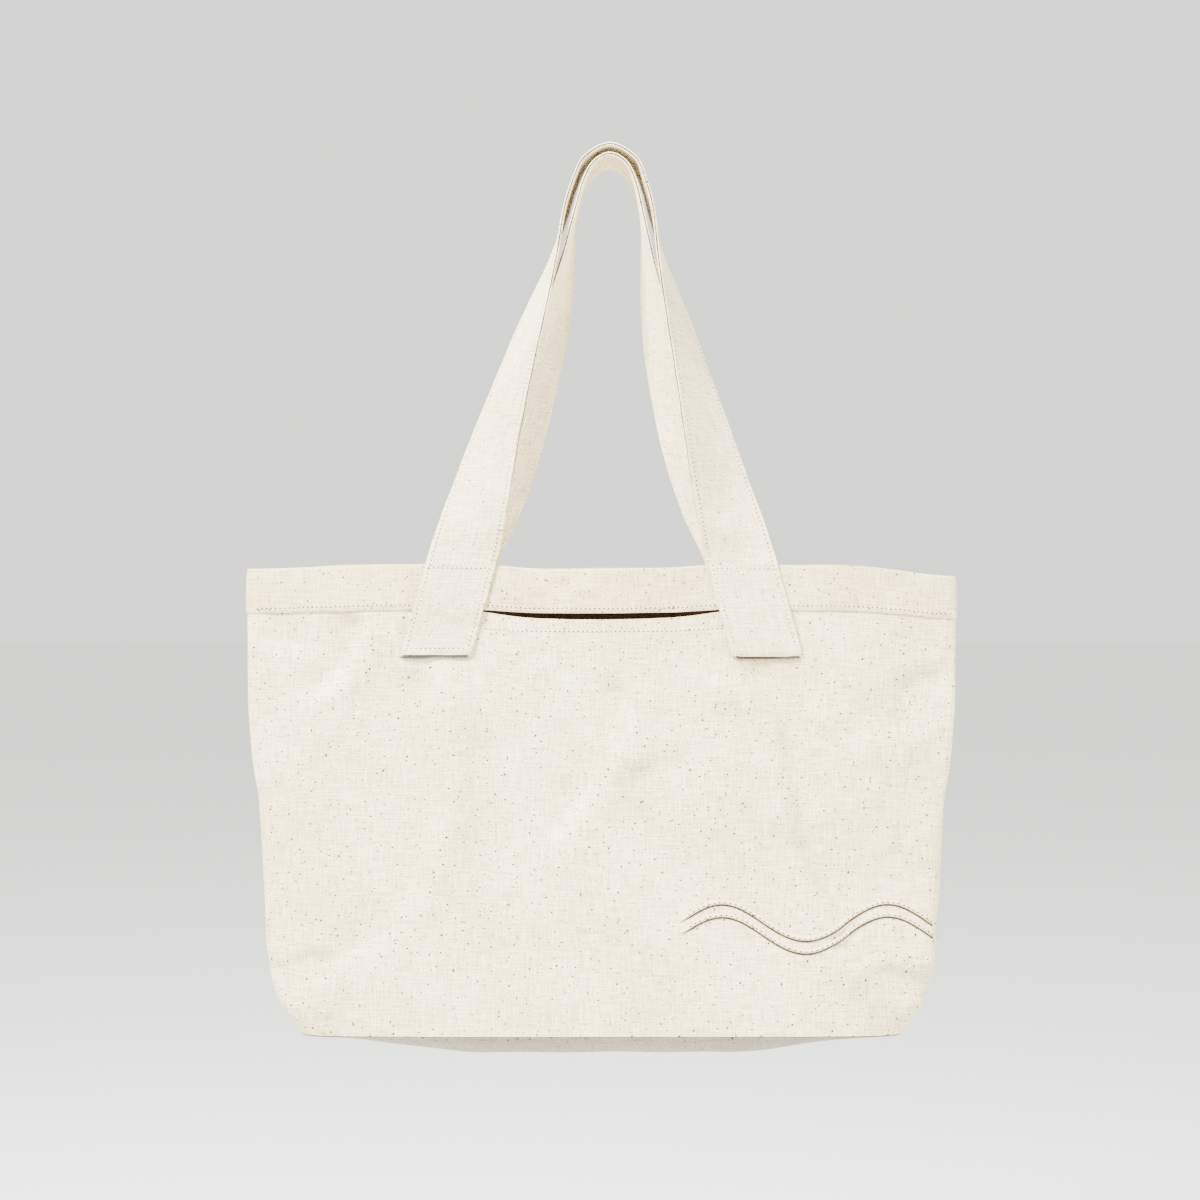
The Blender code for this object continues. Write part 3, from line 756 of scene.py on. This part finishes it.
def sewRows(name, rows, seed=1, pitch=stitchShape["pitch"]):
    # Stitches, and needle holes as small dark bits of painted shade, along rows of (line, ups).
    draw = np.random.default_rng(seed)
    threads = [[], [], []]
    holeShades = [[], [], []]
    for line, ups in rows:
        centres, runs, up, spacing = spacedAlong(line, ups, pitch)
        sideways = unit(np.cross(up, runs))
        centres = centres + sideways * draw.normal(0, stitchShape["wander"], (len(centres), 1))
        runs = unit(runs + sideways * draw.normal(0, stitchShape["tilt"], (len(centres), 1)))
        for kept, new in zip(threads, (centres + up * stitchShape["lift"], runs, up)):
            kept.append(new)
        between = centres + runs * spacing / 2
        for kept, new in zip(holeShades, (between, runs, up)):
            kept.append(new)
    thread = copiesMesh(name, threadBit, *(np.concatenate(k) for k in threads), finishes["thread"])
    holeShade = copiesMesh(name + "_hole_shades", holeShadeBit, *(np.concatenate(k) for k in holeShades), finishes["holeShade"])
    return thread, holeShade


def clothRow(side, x, down, out):
    # A line on a wall for sewing: places and the way out.
    x = np.asarray(x, float)
    down = np.asarray(down, float)
    low = onCloth(side, x, down, out)
    high = onCloth(side, x, down, out + millimetre)
    return low, unit(high - low)


def settle(piece, finish, *nodes):
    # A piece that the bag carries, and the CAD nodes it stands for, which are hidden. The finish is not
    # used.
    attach(piece, "bag")
    if nodes:
        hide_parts(*nodes)


# Layers, from the inner walls outwards, in metres
layers = {
    "canvas": 0.8 * millimetre,
    "pocketGap": 0.25 * millimetre,
    "pocketBelly": 3.2 * millimetre,
    "hollow": 7 * millimetre,
    "hollowAcross": (0.03, 0.086),
    "hollowStart": (0.012, 0.027),
    "hollowEnd": (0.06, 0.15),
    "mouthDrop": 3.9 * millimetre,
    "mouthHalf": 84 * millimetre,
    "band": 1.25 * millimetre,
    "gap": 0.2 * millimetre,
}
bandOut = {-1: layers["pocketGap"] + layers["canvas"] + layers["gap"], 1: layers["gap"]}
bandTop = {side: bandOut[side] + layers["band"] for side in (-1, 1)}


def closeColumns(count):
    # Columns of a wall, closer together towards the side seams.
    even = np.linspace(-1, 1, count)
    return 0.6 * even + 0.4 * np.sin(even * math.pi / 2)


def makeInnerWalls():
    columns = closeColumns(181)
    for side, name, node in ((-1, "inner_front_wall", "front_panel"), (1, "back_wall", "back_panel")):
        downs = np.linspace(0.4 * millimetre, bagHeight, 151)[:, None] * np.ones_like(columns)
        out = np.full(downs.shape, -layers["canvas"])
        if side < 0:
            half = columns * bagHalfWidth * np.ones_like(downs)
            behind = (1 - ramp(np.abs(half), *layers["hollowAcross"])) * ramp(downs, *layers["hollowStart"])
            behind = behind * (1 - ramp(downs, *layers["hollowEnd"]))
            out = out - layers["hollow"] * behind
        # The inner front wall's cloth carries painted shade behind the pocket's mouth
        finish = finishes["innerCanvas" if side < 0 else "bodyCanvas"]
        wall = wallLayer(name, side, columns, downs, out, layers["canvas"], finish)
        settle(wall, "natural_canvas", node)


def pocketLift(x, down):
    # How far the pocket stands off: gaping at its mouth, flat at the straps and seams.
    wider = ramp(down, 0.060, 0.110)
    across = 1 - ramp(np.abs(x), 0.022 + 0.10 * wider, layers["mouthHalf"] + 0.12 * wider)
    downward = 1 - ramp(down, 0.04, 0.24)
    lift = layers["pocketBelly"] * across * (0.35 + 0.65 * downward)
    return layers["pocketGap"] + lift * (1 - ramp(down, 0.2, 0.29))


def pocketTop(x):
    # How far down the pocket's edge is: it sags in the middle and is tucked under the band beside.
    sag = layers["mouthDrop"] * (1 - (np.clip(np.abs(x) / layers["mouthHalf"], 0, 1)) ** 3)
    tucked = 0.006 * ramp(np.abs(x), layers["mouthHalf"], layers["mouthHalf"] + 0.016)
    return bandHeight + 0.3 * millimetre + sag - tucked


def makePocket():
    columns = closeColumns(241)
    shares = np.linspace(0, 1, 171)[:, None]
    x = columns * bagHalfWidth
    top = pocketTop(x)
    downs = top + (bagHeight - 0.2 * millimetre - top) * shares
    out = pocketLift(x * np.ones_like(downs), downs)
    pocket = wallLayer("front_pocket", -1, columns, downs, out, layers["canvas"], finishes["bodyCanvas"])
    settle(pocket, "natural_canvas", "pocket_panel")
    makePocketHem()


hemShape = {"depth": 10 * millimetre, "half": 0.083, "thick": 0.6 * millimetre, "sewnHalf": 0.079}


def makePocketHem():
    # The turned-in hem behind the pocket's edge, with its row of stitches.
    hem = hemShape["depth"]
    x = np.linspace(-hemShape["half"], hemShape["half"], 81)
    rows = np.linspace(0, 1, 9)[:, None]
    downs = pocketTop(x) + 0.1 * millimetre + hem * rows
    out = pocketLift(x * np.ones_like(downs), downs) - 0.1 * millimetre
    columns = columnAt(-1, x, bandHeight / bagHeight)
    thick = hemShape["thick"]
    piece = wallLayer("pocket_hem", -1, columns, downs, out - thick, thick, finishes["seamCanvas"])
    settle(piece, "natural_canvas", "pocket_mouth_hem")
    x = np.linspace(-0.108, 0.108, 160)
    x = x[np.abs(x) < hemShape["sewnHalf"]]
    down = bandHeight + layers["mouthDrop"] + hem - 1.5 * millimetre
    face = pocketLift(x, down * np.ones_like(x)) + layers["canvas"]
    row = clothRow(-1, x, down * np.ones_like(x), face)
    threads, holeShades = sewRows("pocket_hem_thread", [row], 3)
    settle(threads, "cotton_thread", "pocket_hem_stitching")
    settle(holeShades, "cotton_thread")


def makeBands():
    # The hem bands round the mouth, rounded at the top edge, each with a row of stitches.
    columns = closeColumns(181)
    for side, name, node in ((-1, "front_hem_band", "front_band"), (1, "back_hem_band", "back_band")):
        heights = np.linspace(bandHeight, 1.2 * millimetre, 25)
        heights = np.concatenate([heights, [0.6 * millimetre, 0.15 * millimetre, 0]])
        downs = heights[:, None] * np.ones_like(columns)
        bulge = np.array([1.0] * 25 + [0.85, 0.5, 0.2])[:, None]
        edge = np.concatenate([[0.55, 0.85], np.ones(len(heights) - 2)])[:, None]
        towardsSeam = ramp(np.abs(columns), 0.9, 1.0)
        out = np.full(downs.shape, bandOut[side])
        places = np.stack([columns * 0.23 * np.ones_like(downs), downs], -1)
        thick = layers["band"] * (1 - 0.5 * towardsSeam) * bulge * edge
        thick = thick * (1 + 0.06 * grain(places, 0.03, 40 + side))
        share = downs / bagHeight
        half = np.interp(share, np.linspace(0, 1, bagShape["rows"]), walls[side]["half"])
        uv = np.stack([columns * half, -downs + 1.0], -1)
        outer = onWall(side, columns * np.ones_like(downs), share, out + thick)
        inner = onWall(side, columns * np.ones_like(downs), share, out)
        band = layerMesh(name, outer, inner, uv, finishes["bandCanvas"])
        settle(band, "band_canvas", node)
        x = np.linspace(-0.226, 0.226, 400)
        down = np.full_like(x, bandHeight - 3.1 * millimetre)
        rows = [clothRow(side, x, down, np.full_like(x, bandTop[side]))]
        threads, holeShades = sewRows(f"{name}_thread", rows, 5 + side)
        settle(threads, "cotton_thread", node + "_stitching")
        settle(holeShades, "cotton_thread")


# Handles. A loop's rows are x, the distance from the middle (None: the sewn end's own), the height
# above the mouth, all in mm, and the twist in degrees
handles = {
    "width": 44 * millimetre,
    "thick": 2.2 * millimetre,
    "topX": 91 * millimetre,
    "endX": 107.5 * millimetre,
    "endDown": 60 * millimetre,
    "endRows": 28,
    "stitchInset": 3.0 * millimetre,
    "groove": 0.8 * millimetre,
    "lean": 5.5,
    "loops": {
        -1: [(91.0, None, 0.8, 0), (88.4, None, 10, 4), (84.4, 12.5, 25, 15), (77.5, 13.8, 50, 30),
             (70.9, 14.4, 75, 41), (64.0, 14.4, 100, 50), (57.0, 13.0, 125, 58),
             (50.0, 11.0, 150, 65), (42.6, 7.6, 175, 73),
             (35.2, 4.0, 200, 82), (28.5, 0.8, 228, 90), (22.8, 0, 248, 90), (16.0, 0, 261.5, 90),
             (0, 0, 269.7, 90)],
        1: [(91.0, None, 0.8, 0), (87.2, None, 10, 4), (79.5, 12.5, 25, 15), (68.0, 13.8, 50, 30),
            (58.0, 14.4, 75, 41), (49.6, 14.4, 100, 50), (42.0, 13.0, 125, 58),
            (35.6, 11.0, 150, 65), (30.2, 7.6, 175, 73),
            (25.8, 4.0, 200, 82), (21.6, 0.8, 228, 90), (16.2, 0, 247.5, 90), (9.8, 0, 258.5, 90),
            (0, 0, 263.4, 90)],
    },
}


def smoothPath(points, steps):
    # A smooth curve through all the points, in even steps between each two.
    points = np.array(points, float)
    padded = np.vstack([2 * points[0] - points[1], points, 2 * points[-1] - points[-2]])
    path = []
    for i in range(len(points) - 1):
        a, b, c, d = padded[i:i + 4]
        second = 2 * a - 5 * b + 4 * c - d
        third = 3 * b - a - 3 * c + d
        for t in np.linspace(0, 1, steps, endpoint=False):
            path.append(0.5 * (2 * b + (c - a) * t + second * t * t + third * t ** 3))
    path.append(points[-1])
    return np.array(path)


def strapRise(side, down):
    # How far a sewn strap end's middle lies off the wall: over the band, then down to the pocket.
    over = bandTop[side] + layers["gap"]
    below = bandOut[side] + 0.3 * millimetre
    lower = ramp(down, bandHeight - 1 * millimetre, bandHeight + 14 * millimetre)
    return handles["thick"] / 2 + over + (below - over) * lower


def strapFrames(side):
    # Along the whole strap: middle places, ways across, ways out, and distance along.
    slope = (handles["endX"] - handles["topX"]) / handles["endDown"]
    slant = math.hypot(1, slope)
    rows = handles["endRows"]
    down = np.linspace(handles["endDown"], 0.5 * millimetre, rows)
    ends = []
    for sign in (1, -1):
        x = sign * (handles["topX"] + slope * down)
        middle, out = clothRow(side, x, down, strapRise(side, down))
        ends.append((middle, unit(out * (0, 1, 1))))
    startY = abs(ends[0][0][-1][1]) / millimetre
    leg = [(x, startY if y is None else y, up, twist) for x, y, up, twist in handles["loops"][side]]
    mirrored = [(-x, y, up, 180 - twist) for x, y, up, twist in reversed(leg[:-1])]
    path = smoothPath(leg + mirrored, 9)
    path[:, 0] += handles["lean"] * ramp(path[:, 2], 40, 290)
    centres = np.stack([path[:, 0], side * path[:, 1], topZ / millimetre + path[:, 2]], -1) * millimetre
    twist = np.radians(path[:, 3])
    wider = 1 + (slant - 1) * np.abs(np.cos(twist))
    across = np.stack([np.cos(twist) * wider, -side * np.sin(twist), 0 * twist], -1)
    out = unit(side * np.cross(np.gradient(centres, axis=0), across))
    flat = np.array([slant, 0, 0])
    middles = np.concatenate([ends[0][0], centres, ends[1][0][::-1]])
    acrosses = np.concatenate([np.tile(flat, (rows, 1)), across, np.tile(-flat, (rows, 1))])
    outs = unit(np.concatenate([ends[0][1], out, ends[1][1][::-1]]))
    for _ in range(3):  # eases the bend where each end leaves the bag
        outs[1:-1] = unit(outs[:-2] + 2 * outs[1:-1] + outs[2:])
        for bend in (rows, len(middles) - rows):
            low, high = bend - 4, bend + 4
            middles[low:high] = (
                middles[low - 1:high - 1] + 2 * middles[low:high] + middles[low + 1:high + 1]
            ) / 4
    length = np.concatenate([[0], np.cumsum(np.linalg.norm(np.diff(middles, axis=0), axis=1))])
    return middles, acrosses, outs, length


def strapSection():
    # Half of a strap's closed outline: flat face, then the groove between its two folded layers.
    half = handles["width"] / 2
    thick = handles["thick"] / 2
    flat = np.linspace(-1, 1, 15)
    face = [(half * f * 0.985, thick) for f in flat]
    edge = [(half, 0.5 * thick), (half - handles["groove"], 0)]
    return np.array([(-half, 0.5 * thick)] + face + edge)


def makeHandle(face, side):
    middles, acrosses, outs, length = strapFrames(side)
    part = strapSection()
    outline = np.concatenate([part, part * (-1, -1)])
    swell = 1 + 0.05 * np.sin(length * 60 + side)[:, None]
    ends = np.minimum(length, length[-1] - length)[:, None]
    swell = swell * (1 + 0.25 * (1 - ramp(ends, 0, 0.009))) * (0.55 + 0.45 * ramp(ends, -0.0001, 0.0010))
    flat = outline[None, :, 0]
    reach = flat + 0.12 * millimetre * np.sin(length * 210)[:, None] * np.sign(flat)
    crown = 0.18 * millimetre * np.cos(np.pi * flat / handles["width"])
    height = outline[None, :, 1] * swell + crown * np.sin(length * 33 + 1)[:, None]
    sections = middles[:, None] + acrosses[:, None] * reach[..., None] + outs[:, None] * height[..., None]
    isGroove = np.abs(outline[:, 1]) < 1e-6
    # The groove's UVs lie just beyond the faces' edges, where the painted shade line is drawn
    uvReach = np.where(isGroove, np.sign(reach) * (handles["width"] / 2 + handles["groove"]), reach)
    uvs = np.stack([uvReach + paintedEdgeShade["lane"] * (side + 2), length[:, None] + 0 * reach], -1)
    strap = strapMesh(f"{face}_handle", sections, uvs, finishes["strapCanvas"])
    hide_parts(f"{face}_handle_strap", f"{face}_left_strap_end", f"{face}_right_strap_end")
    blendAcross(strap)
    sewHandle(face, side, middles, acrosses, outs)
    makeEndLips(face, side)


endLip = {
    "height": 1.7 * millimetre,
    "inset": 1.3 * millimetre,
    "thick": 0.9 * millimetre,
    "line": 0.38 * millimetre,
}


def makeEndLips(face, side):
    # The turned-under end of each strap shows as a thin lip below its fold, coloured dark as painted shade,
    # with strips of painted shade along its fold and its lower edge.
    slope = (handles["endX"] - handles["topX"]) / handles["endDown"]
    line = endLip["line"]
    proud = endLip["thick"] + 0.06 * millimetre
    parts = (
        ("lip", 0.0, endLip["height"], endLip["thick"], "lipCanvasPaintedShade"),
        ("fold_shade_line", 0.05 * millimetre, line, proud, "holeShade"),
        ("shade_line", endLip["height"] - line, line + 0.1 * millimetre, proud, "holeShade"),
    )
    for hand, sign in (("left", -1), ("right", 1)):
        reach = np.linspace(-1, 1, 25) * (handles["width"] / 2 - endLip["inset"])
        wobble = 0.12 * millimetre * np.sin(reach * 260 + side + sign)
        for part, first, height, thick, finish in parts:
            down = handles["endDown"] + first + wobble + height * np.linspace(0, 1, 3)[:, None]
            x = sign * (handles["topX"] + slope * down) + reach
            out = strapRise(side, down) - handles["thick"] / 2 + 0.3 * millimetre
            outer = onCloth(side, x, down, out + thick)
            inner = onCloth(side, x, down, out)
            uv = np.stack([x, -down], -1)
            piece = layerMesh(f"{face}_{hand}_end_{part}", outer, inner, uv, finishes[finish])
            settle(piece, "strap_canvas")


def blendAcross(piece):
    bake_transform(piece)


def sewHandle(face, side, middles, acrosses, outs):
    # Two long rows and, at each end, rows across at the bag's edge and above the fold.
    inset = handles["width"] / 2 - handles["stitchInset"]
    skin = handles["thick"] / 2 * 0.98
    first = 3
    rows = []
    for reach in (-inset, inset):
        line = middles + acrosses * reach + outs * skin
        rows.append((line[first:-first], outs[first:-first]))
    for at in (2, 26, len(middles) - 27, len(middles) - 3):
        reaches = np.linspace(-inset, inset, 20)[:, None]
        line = middles[at] + acrosses[at] * reaches + outs[at] * skin
        rows.append((line, np.tile(outs[at], (20, 1))))
    threads, holeShades = sewRows(f"{face}_handle_thread", rows, 11 + side)
    nodes = [f"{face}_handle_{edge}_stitching" for edge in ("inner", "outer")]
    nodes += [f"{face}_{hand}_strap_end_stitching" for hand in ("left", "right")]
    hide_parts(*nodes)
    for piece in (threads, holeShades):
        blendAcross(piece)


# The boxed bottom and the seams inside
bottomShape = {"sag": 13 * millimetre, "reach": 0.99, "along": 121, "across": 41}


def makeBottom():
    # A sagging panel whose rim follows the lower edges of both walls.
    along, across = bottomShape["along"], bottomShape["across"]
    columns = np.sin(np.linspace(-1, 1, along) * math.pi / 2) * bottomShape["reach"]
    ones = np.ones(along)
    front = onWall(-1, columns, ones, (layers["pocketGap"] + 0.5 * layers["canvas"]) * ones)
    back = onWall(1, columns, ones, -0.0002 * ones)
    blend = np.linspace(0, 1, across)[:, None, None]
    sheet = front[None] * (1 - blend) + back[None] * blend
    middle = np.sin(np.pi * blend[..., 0] ** 0.92)
    length = 1 - ramp(np.abs(columns), 0.35, 0.86)
    sheet[..., 2] -= bottomShape["sag"] * middle ** 0.8 * (0.12 + 0.88 * length)
    sheet[..., 2] -= 0.05 * millimetre
    sheet[..., 2] += 0.4 * millimetre * grain(sheet[..., :2], 0.06, 70) * middle
    lower = sheet - np.array([0, 0, layers["canvas"]])
    uv = sheet[..., :2] + 2.0
    # Its cloth is coloured darker than the walls as painted shade
    bottom = layerMesh("bottom_cloth", lower, sheet, uv, finishes["bottomCanvasPaintedShade"])
    settle(bottom, "natural_canvas", "bottom_panel")


seamCloth = finishes["seamCanvas"]


def makeSeams():
    # Raw-edged seam allowances inside the bag, down both sides and along the bottom.
    for hand, sign in (("left", -1), ("right", 1)):
        down = np.linspace(2 * millimetre, bagHeight - 12 * millimetre, 90)
        edge = onWall(-1, np.full(90, sign * 1.0), down / bagHeight, np.full(90, -2.6 * millimetre))
        across = np.linspace(0, 1, 6)[:, None]
        fray = 0.5 * millimetre * np.sin(down * 900) + 0.4 * millimetre * np.sin(down * 2300 + 1)
        depth = (10 * millimetre + fray) * across
        ripple = 0.5 * millimetre * np.sin(down * 70) * across
        sheet = np.stack([edge[:, 0] - sign * depth, ripple, edge[:, 2] + 0 * depth], -1)
        thick = np.array([0, 0.5 * millimetre, 0])
        uv = np.stack([depth + 3, down + 0 * depth], -1)
        seam = layerMesh(f"{hand}_side_allowance", sheet + thick, sheet - thick, uv, seamCloth)
        settle(seam, "seam_canvas", f"{hand}_side_seam")
    for face, side in (("front", -1), ("back", 1)):
        columns = np.linspace(-0.78, 0.78, 120)
        fray = 1 + 0.03 * np.sin(columns * 260)
        downs = bagHeight - np.linspace(9.5, 1.0, 5)[:, None] * millimetre * fray
        out = np.full(downs.shape, -layers["canvas"] - 1.5 * millimetre)
        name = f"{face}_bottom_allowance"
        seam = wallLayer(name, side, columns, downs, out, 1.2 * millimetre, seamCloth)
        settle(seam, "seam_canvas", f"{face}_bottom_seam")


def makeCornerSeams():
    # The short allowances that box the bottom, wrapped round inside each lower corner.
    near = np.linspace(0.88, 1.0, 14)
    downs = bagHeight - np.linspace(9.0, 2.0, 5)[:, None] * millimetre
    for hand, sign in (("left", -1), ("right", 1)):
        faces = []
        for out in (-2.0 * millimetre, -3.2 * millimetre):
            halves = []
            for side, columns in ((-1, near[:-1]), (1, near[::-1])):
                share = downs / bagHeight * np.ones_like(columns)
                place = sign * columns * np.ones_like(share)
                halves.append(onWall(side, place, share, np.full(share.shape, out)))
            faces.append(np.concatenate(halves, axis=1))
        around = np.linspace(0, 0.06, faces[0].shape[1])
        uv = np.stack([around * np.ones_like(downs), downs * np.ones_like(around) + 6], -1)
        seam = layerMesh(f"{hand}_corner_allowance", faces[0], faces[1], uv, seamCloth)
        settle(seam, "seam_canvas", f"{hand}_corner_seam")


# Raised waves: each is a pinched tuck with a row of stitches along its ridge and a dark strip of painted
# shade in the crease below
waves = {
    "length": 106.5 * millimetre,
    "rise": 11.5 * millimetre,
    "crestX": 77 * millimetre,
    "down": 232 * millimetre,
    "pitch": 8.0 * millimetre,
    "start": 50 * millimetre,
    "end": 215 * millimetre,
    "ridge": 2.8 * millimetre,
    "crease": 1.1 * millimetre,
    "height": 1.5 * millimetre,
    "stitchPitch": 3.5 * millimetre,
    "stitchOffset": 0.3 * millimetre,
}


def waveDown(x, lower):
    # How far down a wave runs at each x; the lower one is a pitch below.
    turn = 2 * math.pi * (x - waves["crestX"]) / waves["length"]
    return waves["down"] + lower - waves["rise"] * np.cos(turn)


def waveSteps(x, down):
    # The stitch that each place along a wave belongs to, counted from its start.
    length = np.concatenate([[0], np.cumsum(np.hypot(np.diff(x), np.diff(down)))])
    count = int(length[-1] / waves["stitchPitch"])
    return length / length[-1] * count


def makeWaves():
    for name, lower, shift in (("upper", 0, 0), ("lower", waves["pitch"], 0.8 * millimetre)):
        x = np.linspace(waves["start"] + shift, waves["end"], 220)
        down = waveDown(x, lower)
        run = unit(np.stack([np.gradient(x), np.gradient(down)], -1))
        normal = np.stack([-run[:, 1], run[:, 0]], -1)
        reach = np.linspace(-0.5, 0.5, 11)[:, None]
        ends = ramp(x, x[0] - 0.0005, x[0] + 0.006)
        width = waves["ridge"] * (0.35 + 0.65 * ends)
        px = x + normal[:, 0] * reach * width
        pd = down + normal[:, 1] * reach * width
        hump = np.sqrt(np.clip(1 - (2 * np.abs(reach)) ** 2.6, 0, 1))
        lean = 1 + 0.45 * np.sin(np.pi * reach)
        before = np.linspace(-0.5, 0, 4, endpoint=False)
        turns = np.concatenate([before, waveSteps(x[4:], down[4:])])
        puff = 0.9 - 0.15 * np.cos(2 * np.pi * turns)
        surface = pocketLift(px, pd) + layers["canvas"]
        top = surface + 0.05 * millimetre + waves["height"] * hump * lean * puff * (0.25 + 0.75 * ends)
        uv = np.stack([x + 0 * px, reach * width + 4], -1)
        outer = onCloth(-1, px, pd, top)
        inner = onCloth(-1, px, pd, surface - 0.1 * millimetre)
        ridge = layerMesh(f"{name}_wave", outer, inner, uv, finishes["bodyCanvas"])
        settle(ridge, "natural_canvas", f"wave_tuck_{name}")
        rx = (x + normal[:, 0] * waves["stitchOffset"])[4:]
        rd = (down + normal[:, 1] * waves["stitchOffset"])[4:]
        out = pocketLift(rx, rd) + layers["canvas"] + 1.12 * waves["height"]
        seed = 21 + int(lower > 0)
        row = clothRow(-1, rx, rd, out)
        threads, holeShades = sewRows(f"{name}_wave_thread", [row], seed, waves["stitchPitch"])
        makeCreaseShade(name, x, down, normal)
        settle(threads, "cotton_thread")
        settle(holeShades, "cotton_thread")


def makeCreaseShade(name, x, down, normal):
    # Painted shade: a dark strip in the deep pinch along the lower side of a raised wave.
    ends = 0.4 + 0.6 * ramp(x, x[0], x[0] + 0.008)
    reach = np.array([0, 0.5, 1])[:, None] * waves["crease"] * ends
    px = x + normal[:, 0] * (0.5 * waves["ridge"] + reach)
    pd = down + normal[:, 1] * (0.5 * waves["ridge"] + reach)
    out = pocketLift(px, pd) + layers["canvas"]
    outer = onCloth(-1, px, pd, out + 0.12 * millimetre)
    inner = onCloth(-1, px, pd, out - 0.2 * millimetre)
    uv = np.stack([x + 0 * px, reach + 0 * px], -1)
    crease = layerMesh(f"{name}_wave_crease_shade", outer, inner, uv, finishes["holeShade"])
    settle(crease, "natural_canvas")


makeInnerWalls()
makePocket()
makeBands()
print("walls, pocket and bands made")
makeHandle("front", -1)
makeHandle("back", 1)
print("handles made")
makeBottom()
makeSeams()
makeCornerSeams()
makeWaves()
print("bottom, seams and waves made")


# Floor, light and camera
stageValues = {
    "floorZ": -0.95,
    "floorColour": (0.93, 0.93, 0.92, 1),
    "room": 1.6,
    "roomColour": (1.0, 0.99, 0.97, 1),
    "distance": 1.30,
    "lens": 59.8,
    "cameraX": -0.001,
    "cameraDown": 0.023,
    "lampAim": (0, 0, -0.42),
    "lamps": {  # place, size and power of each
        "keyLamp": ((-0.75, -0.85, 1.05), (0.45, 0.35), 235),
        "sideLamp": ((1.5, -1.0, 0.6), (0.7, 0.6), 80),
    },
}


def makeStage():
    bpy.ops.object.select_all(action="DESELECT")
    bpy.ops.mesh.primitive_plane_add(size=60, location=(0, 0, 0))
    floor = bpy.context.object
    floor.name = "floor"
    bpy.ops.object.mode_set(mode="EDIT")
    bpy.ops.mesh.select_all(action="SELECT")
    bpy.ops.transform.translate(value=(0, 0, stageValues["floorZ"]))
    bpy.ops.object.mode_set(mode="OBJECT")
    paint = bpy.data.materials.new("paleFloor")
    paint.use_nodes = True
    shader = paint.node_tree.nodes["Principled BSDF"]
    shader.inputs["Base Color"].default_value = stageValues["floorColour"]
    shader.inputs["Roughness"].default_value = 0.9
    floor.data.materials.append(paint)
    world = bpy.data.worlds.new("paleRoom")
    world.use_nodes = True
    light = world.node_tree.nodes["Background"]
    light.inputs["Color"].default_value = stageValues["roomColour"]
    light.inputs["Strength"].default_value = stageValues["room"]
    bpy.context.scene.world = world


def makeLamp(name, place, size, power):
    lamp = bpy.data.lights.new(name, "AREA")
    lamp.shape = "RECTANGLE"
    lamp.size, lamp.size_y = size
    lamp.energy = power
    holder = bpy.data.objects.new(name, lamp)
    bpy.context.scene.collection.objects.link(holder)
    holder.location = place
    direction = np.array(stageValues["lampAim"]) - np.array(place)
    yaw = math.atan2(direction[1], direction[0]) - math.pi / 2
    pitch = math.atan2(math.hypot(direction[0], direction[1]), -direction[2])
    holder.rotation_euler = (pitch, 0, yaw)


def makeCamera():
    camera = bpy.data.cameras.new("camera")
    camera.lens = stageValues["lens"]
    camera.clip_end = 60
    holder = bpy.data.objects.new("camera", camera)
    bpy.context.scene.collection.objects.link(holder)
    height = topZ - stageValues["cameraDown"]
    holder.location = (stageValues["cameraX"], -stageValues["distance"], height)
    holder.rotation_euler = (math.pi / 2, 0, 0)
    bpy.context.scene.camera = holder


makeStage()
for name, values in stageValues["lamps"].items():
    makeLamp(name, *values)
makeCamera()
print("stage, lamps and camera made")
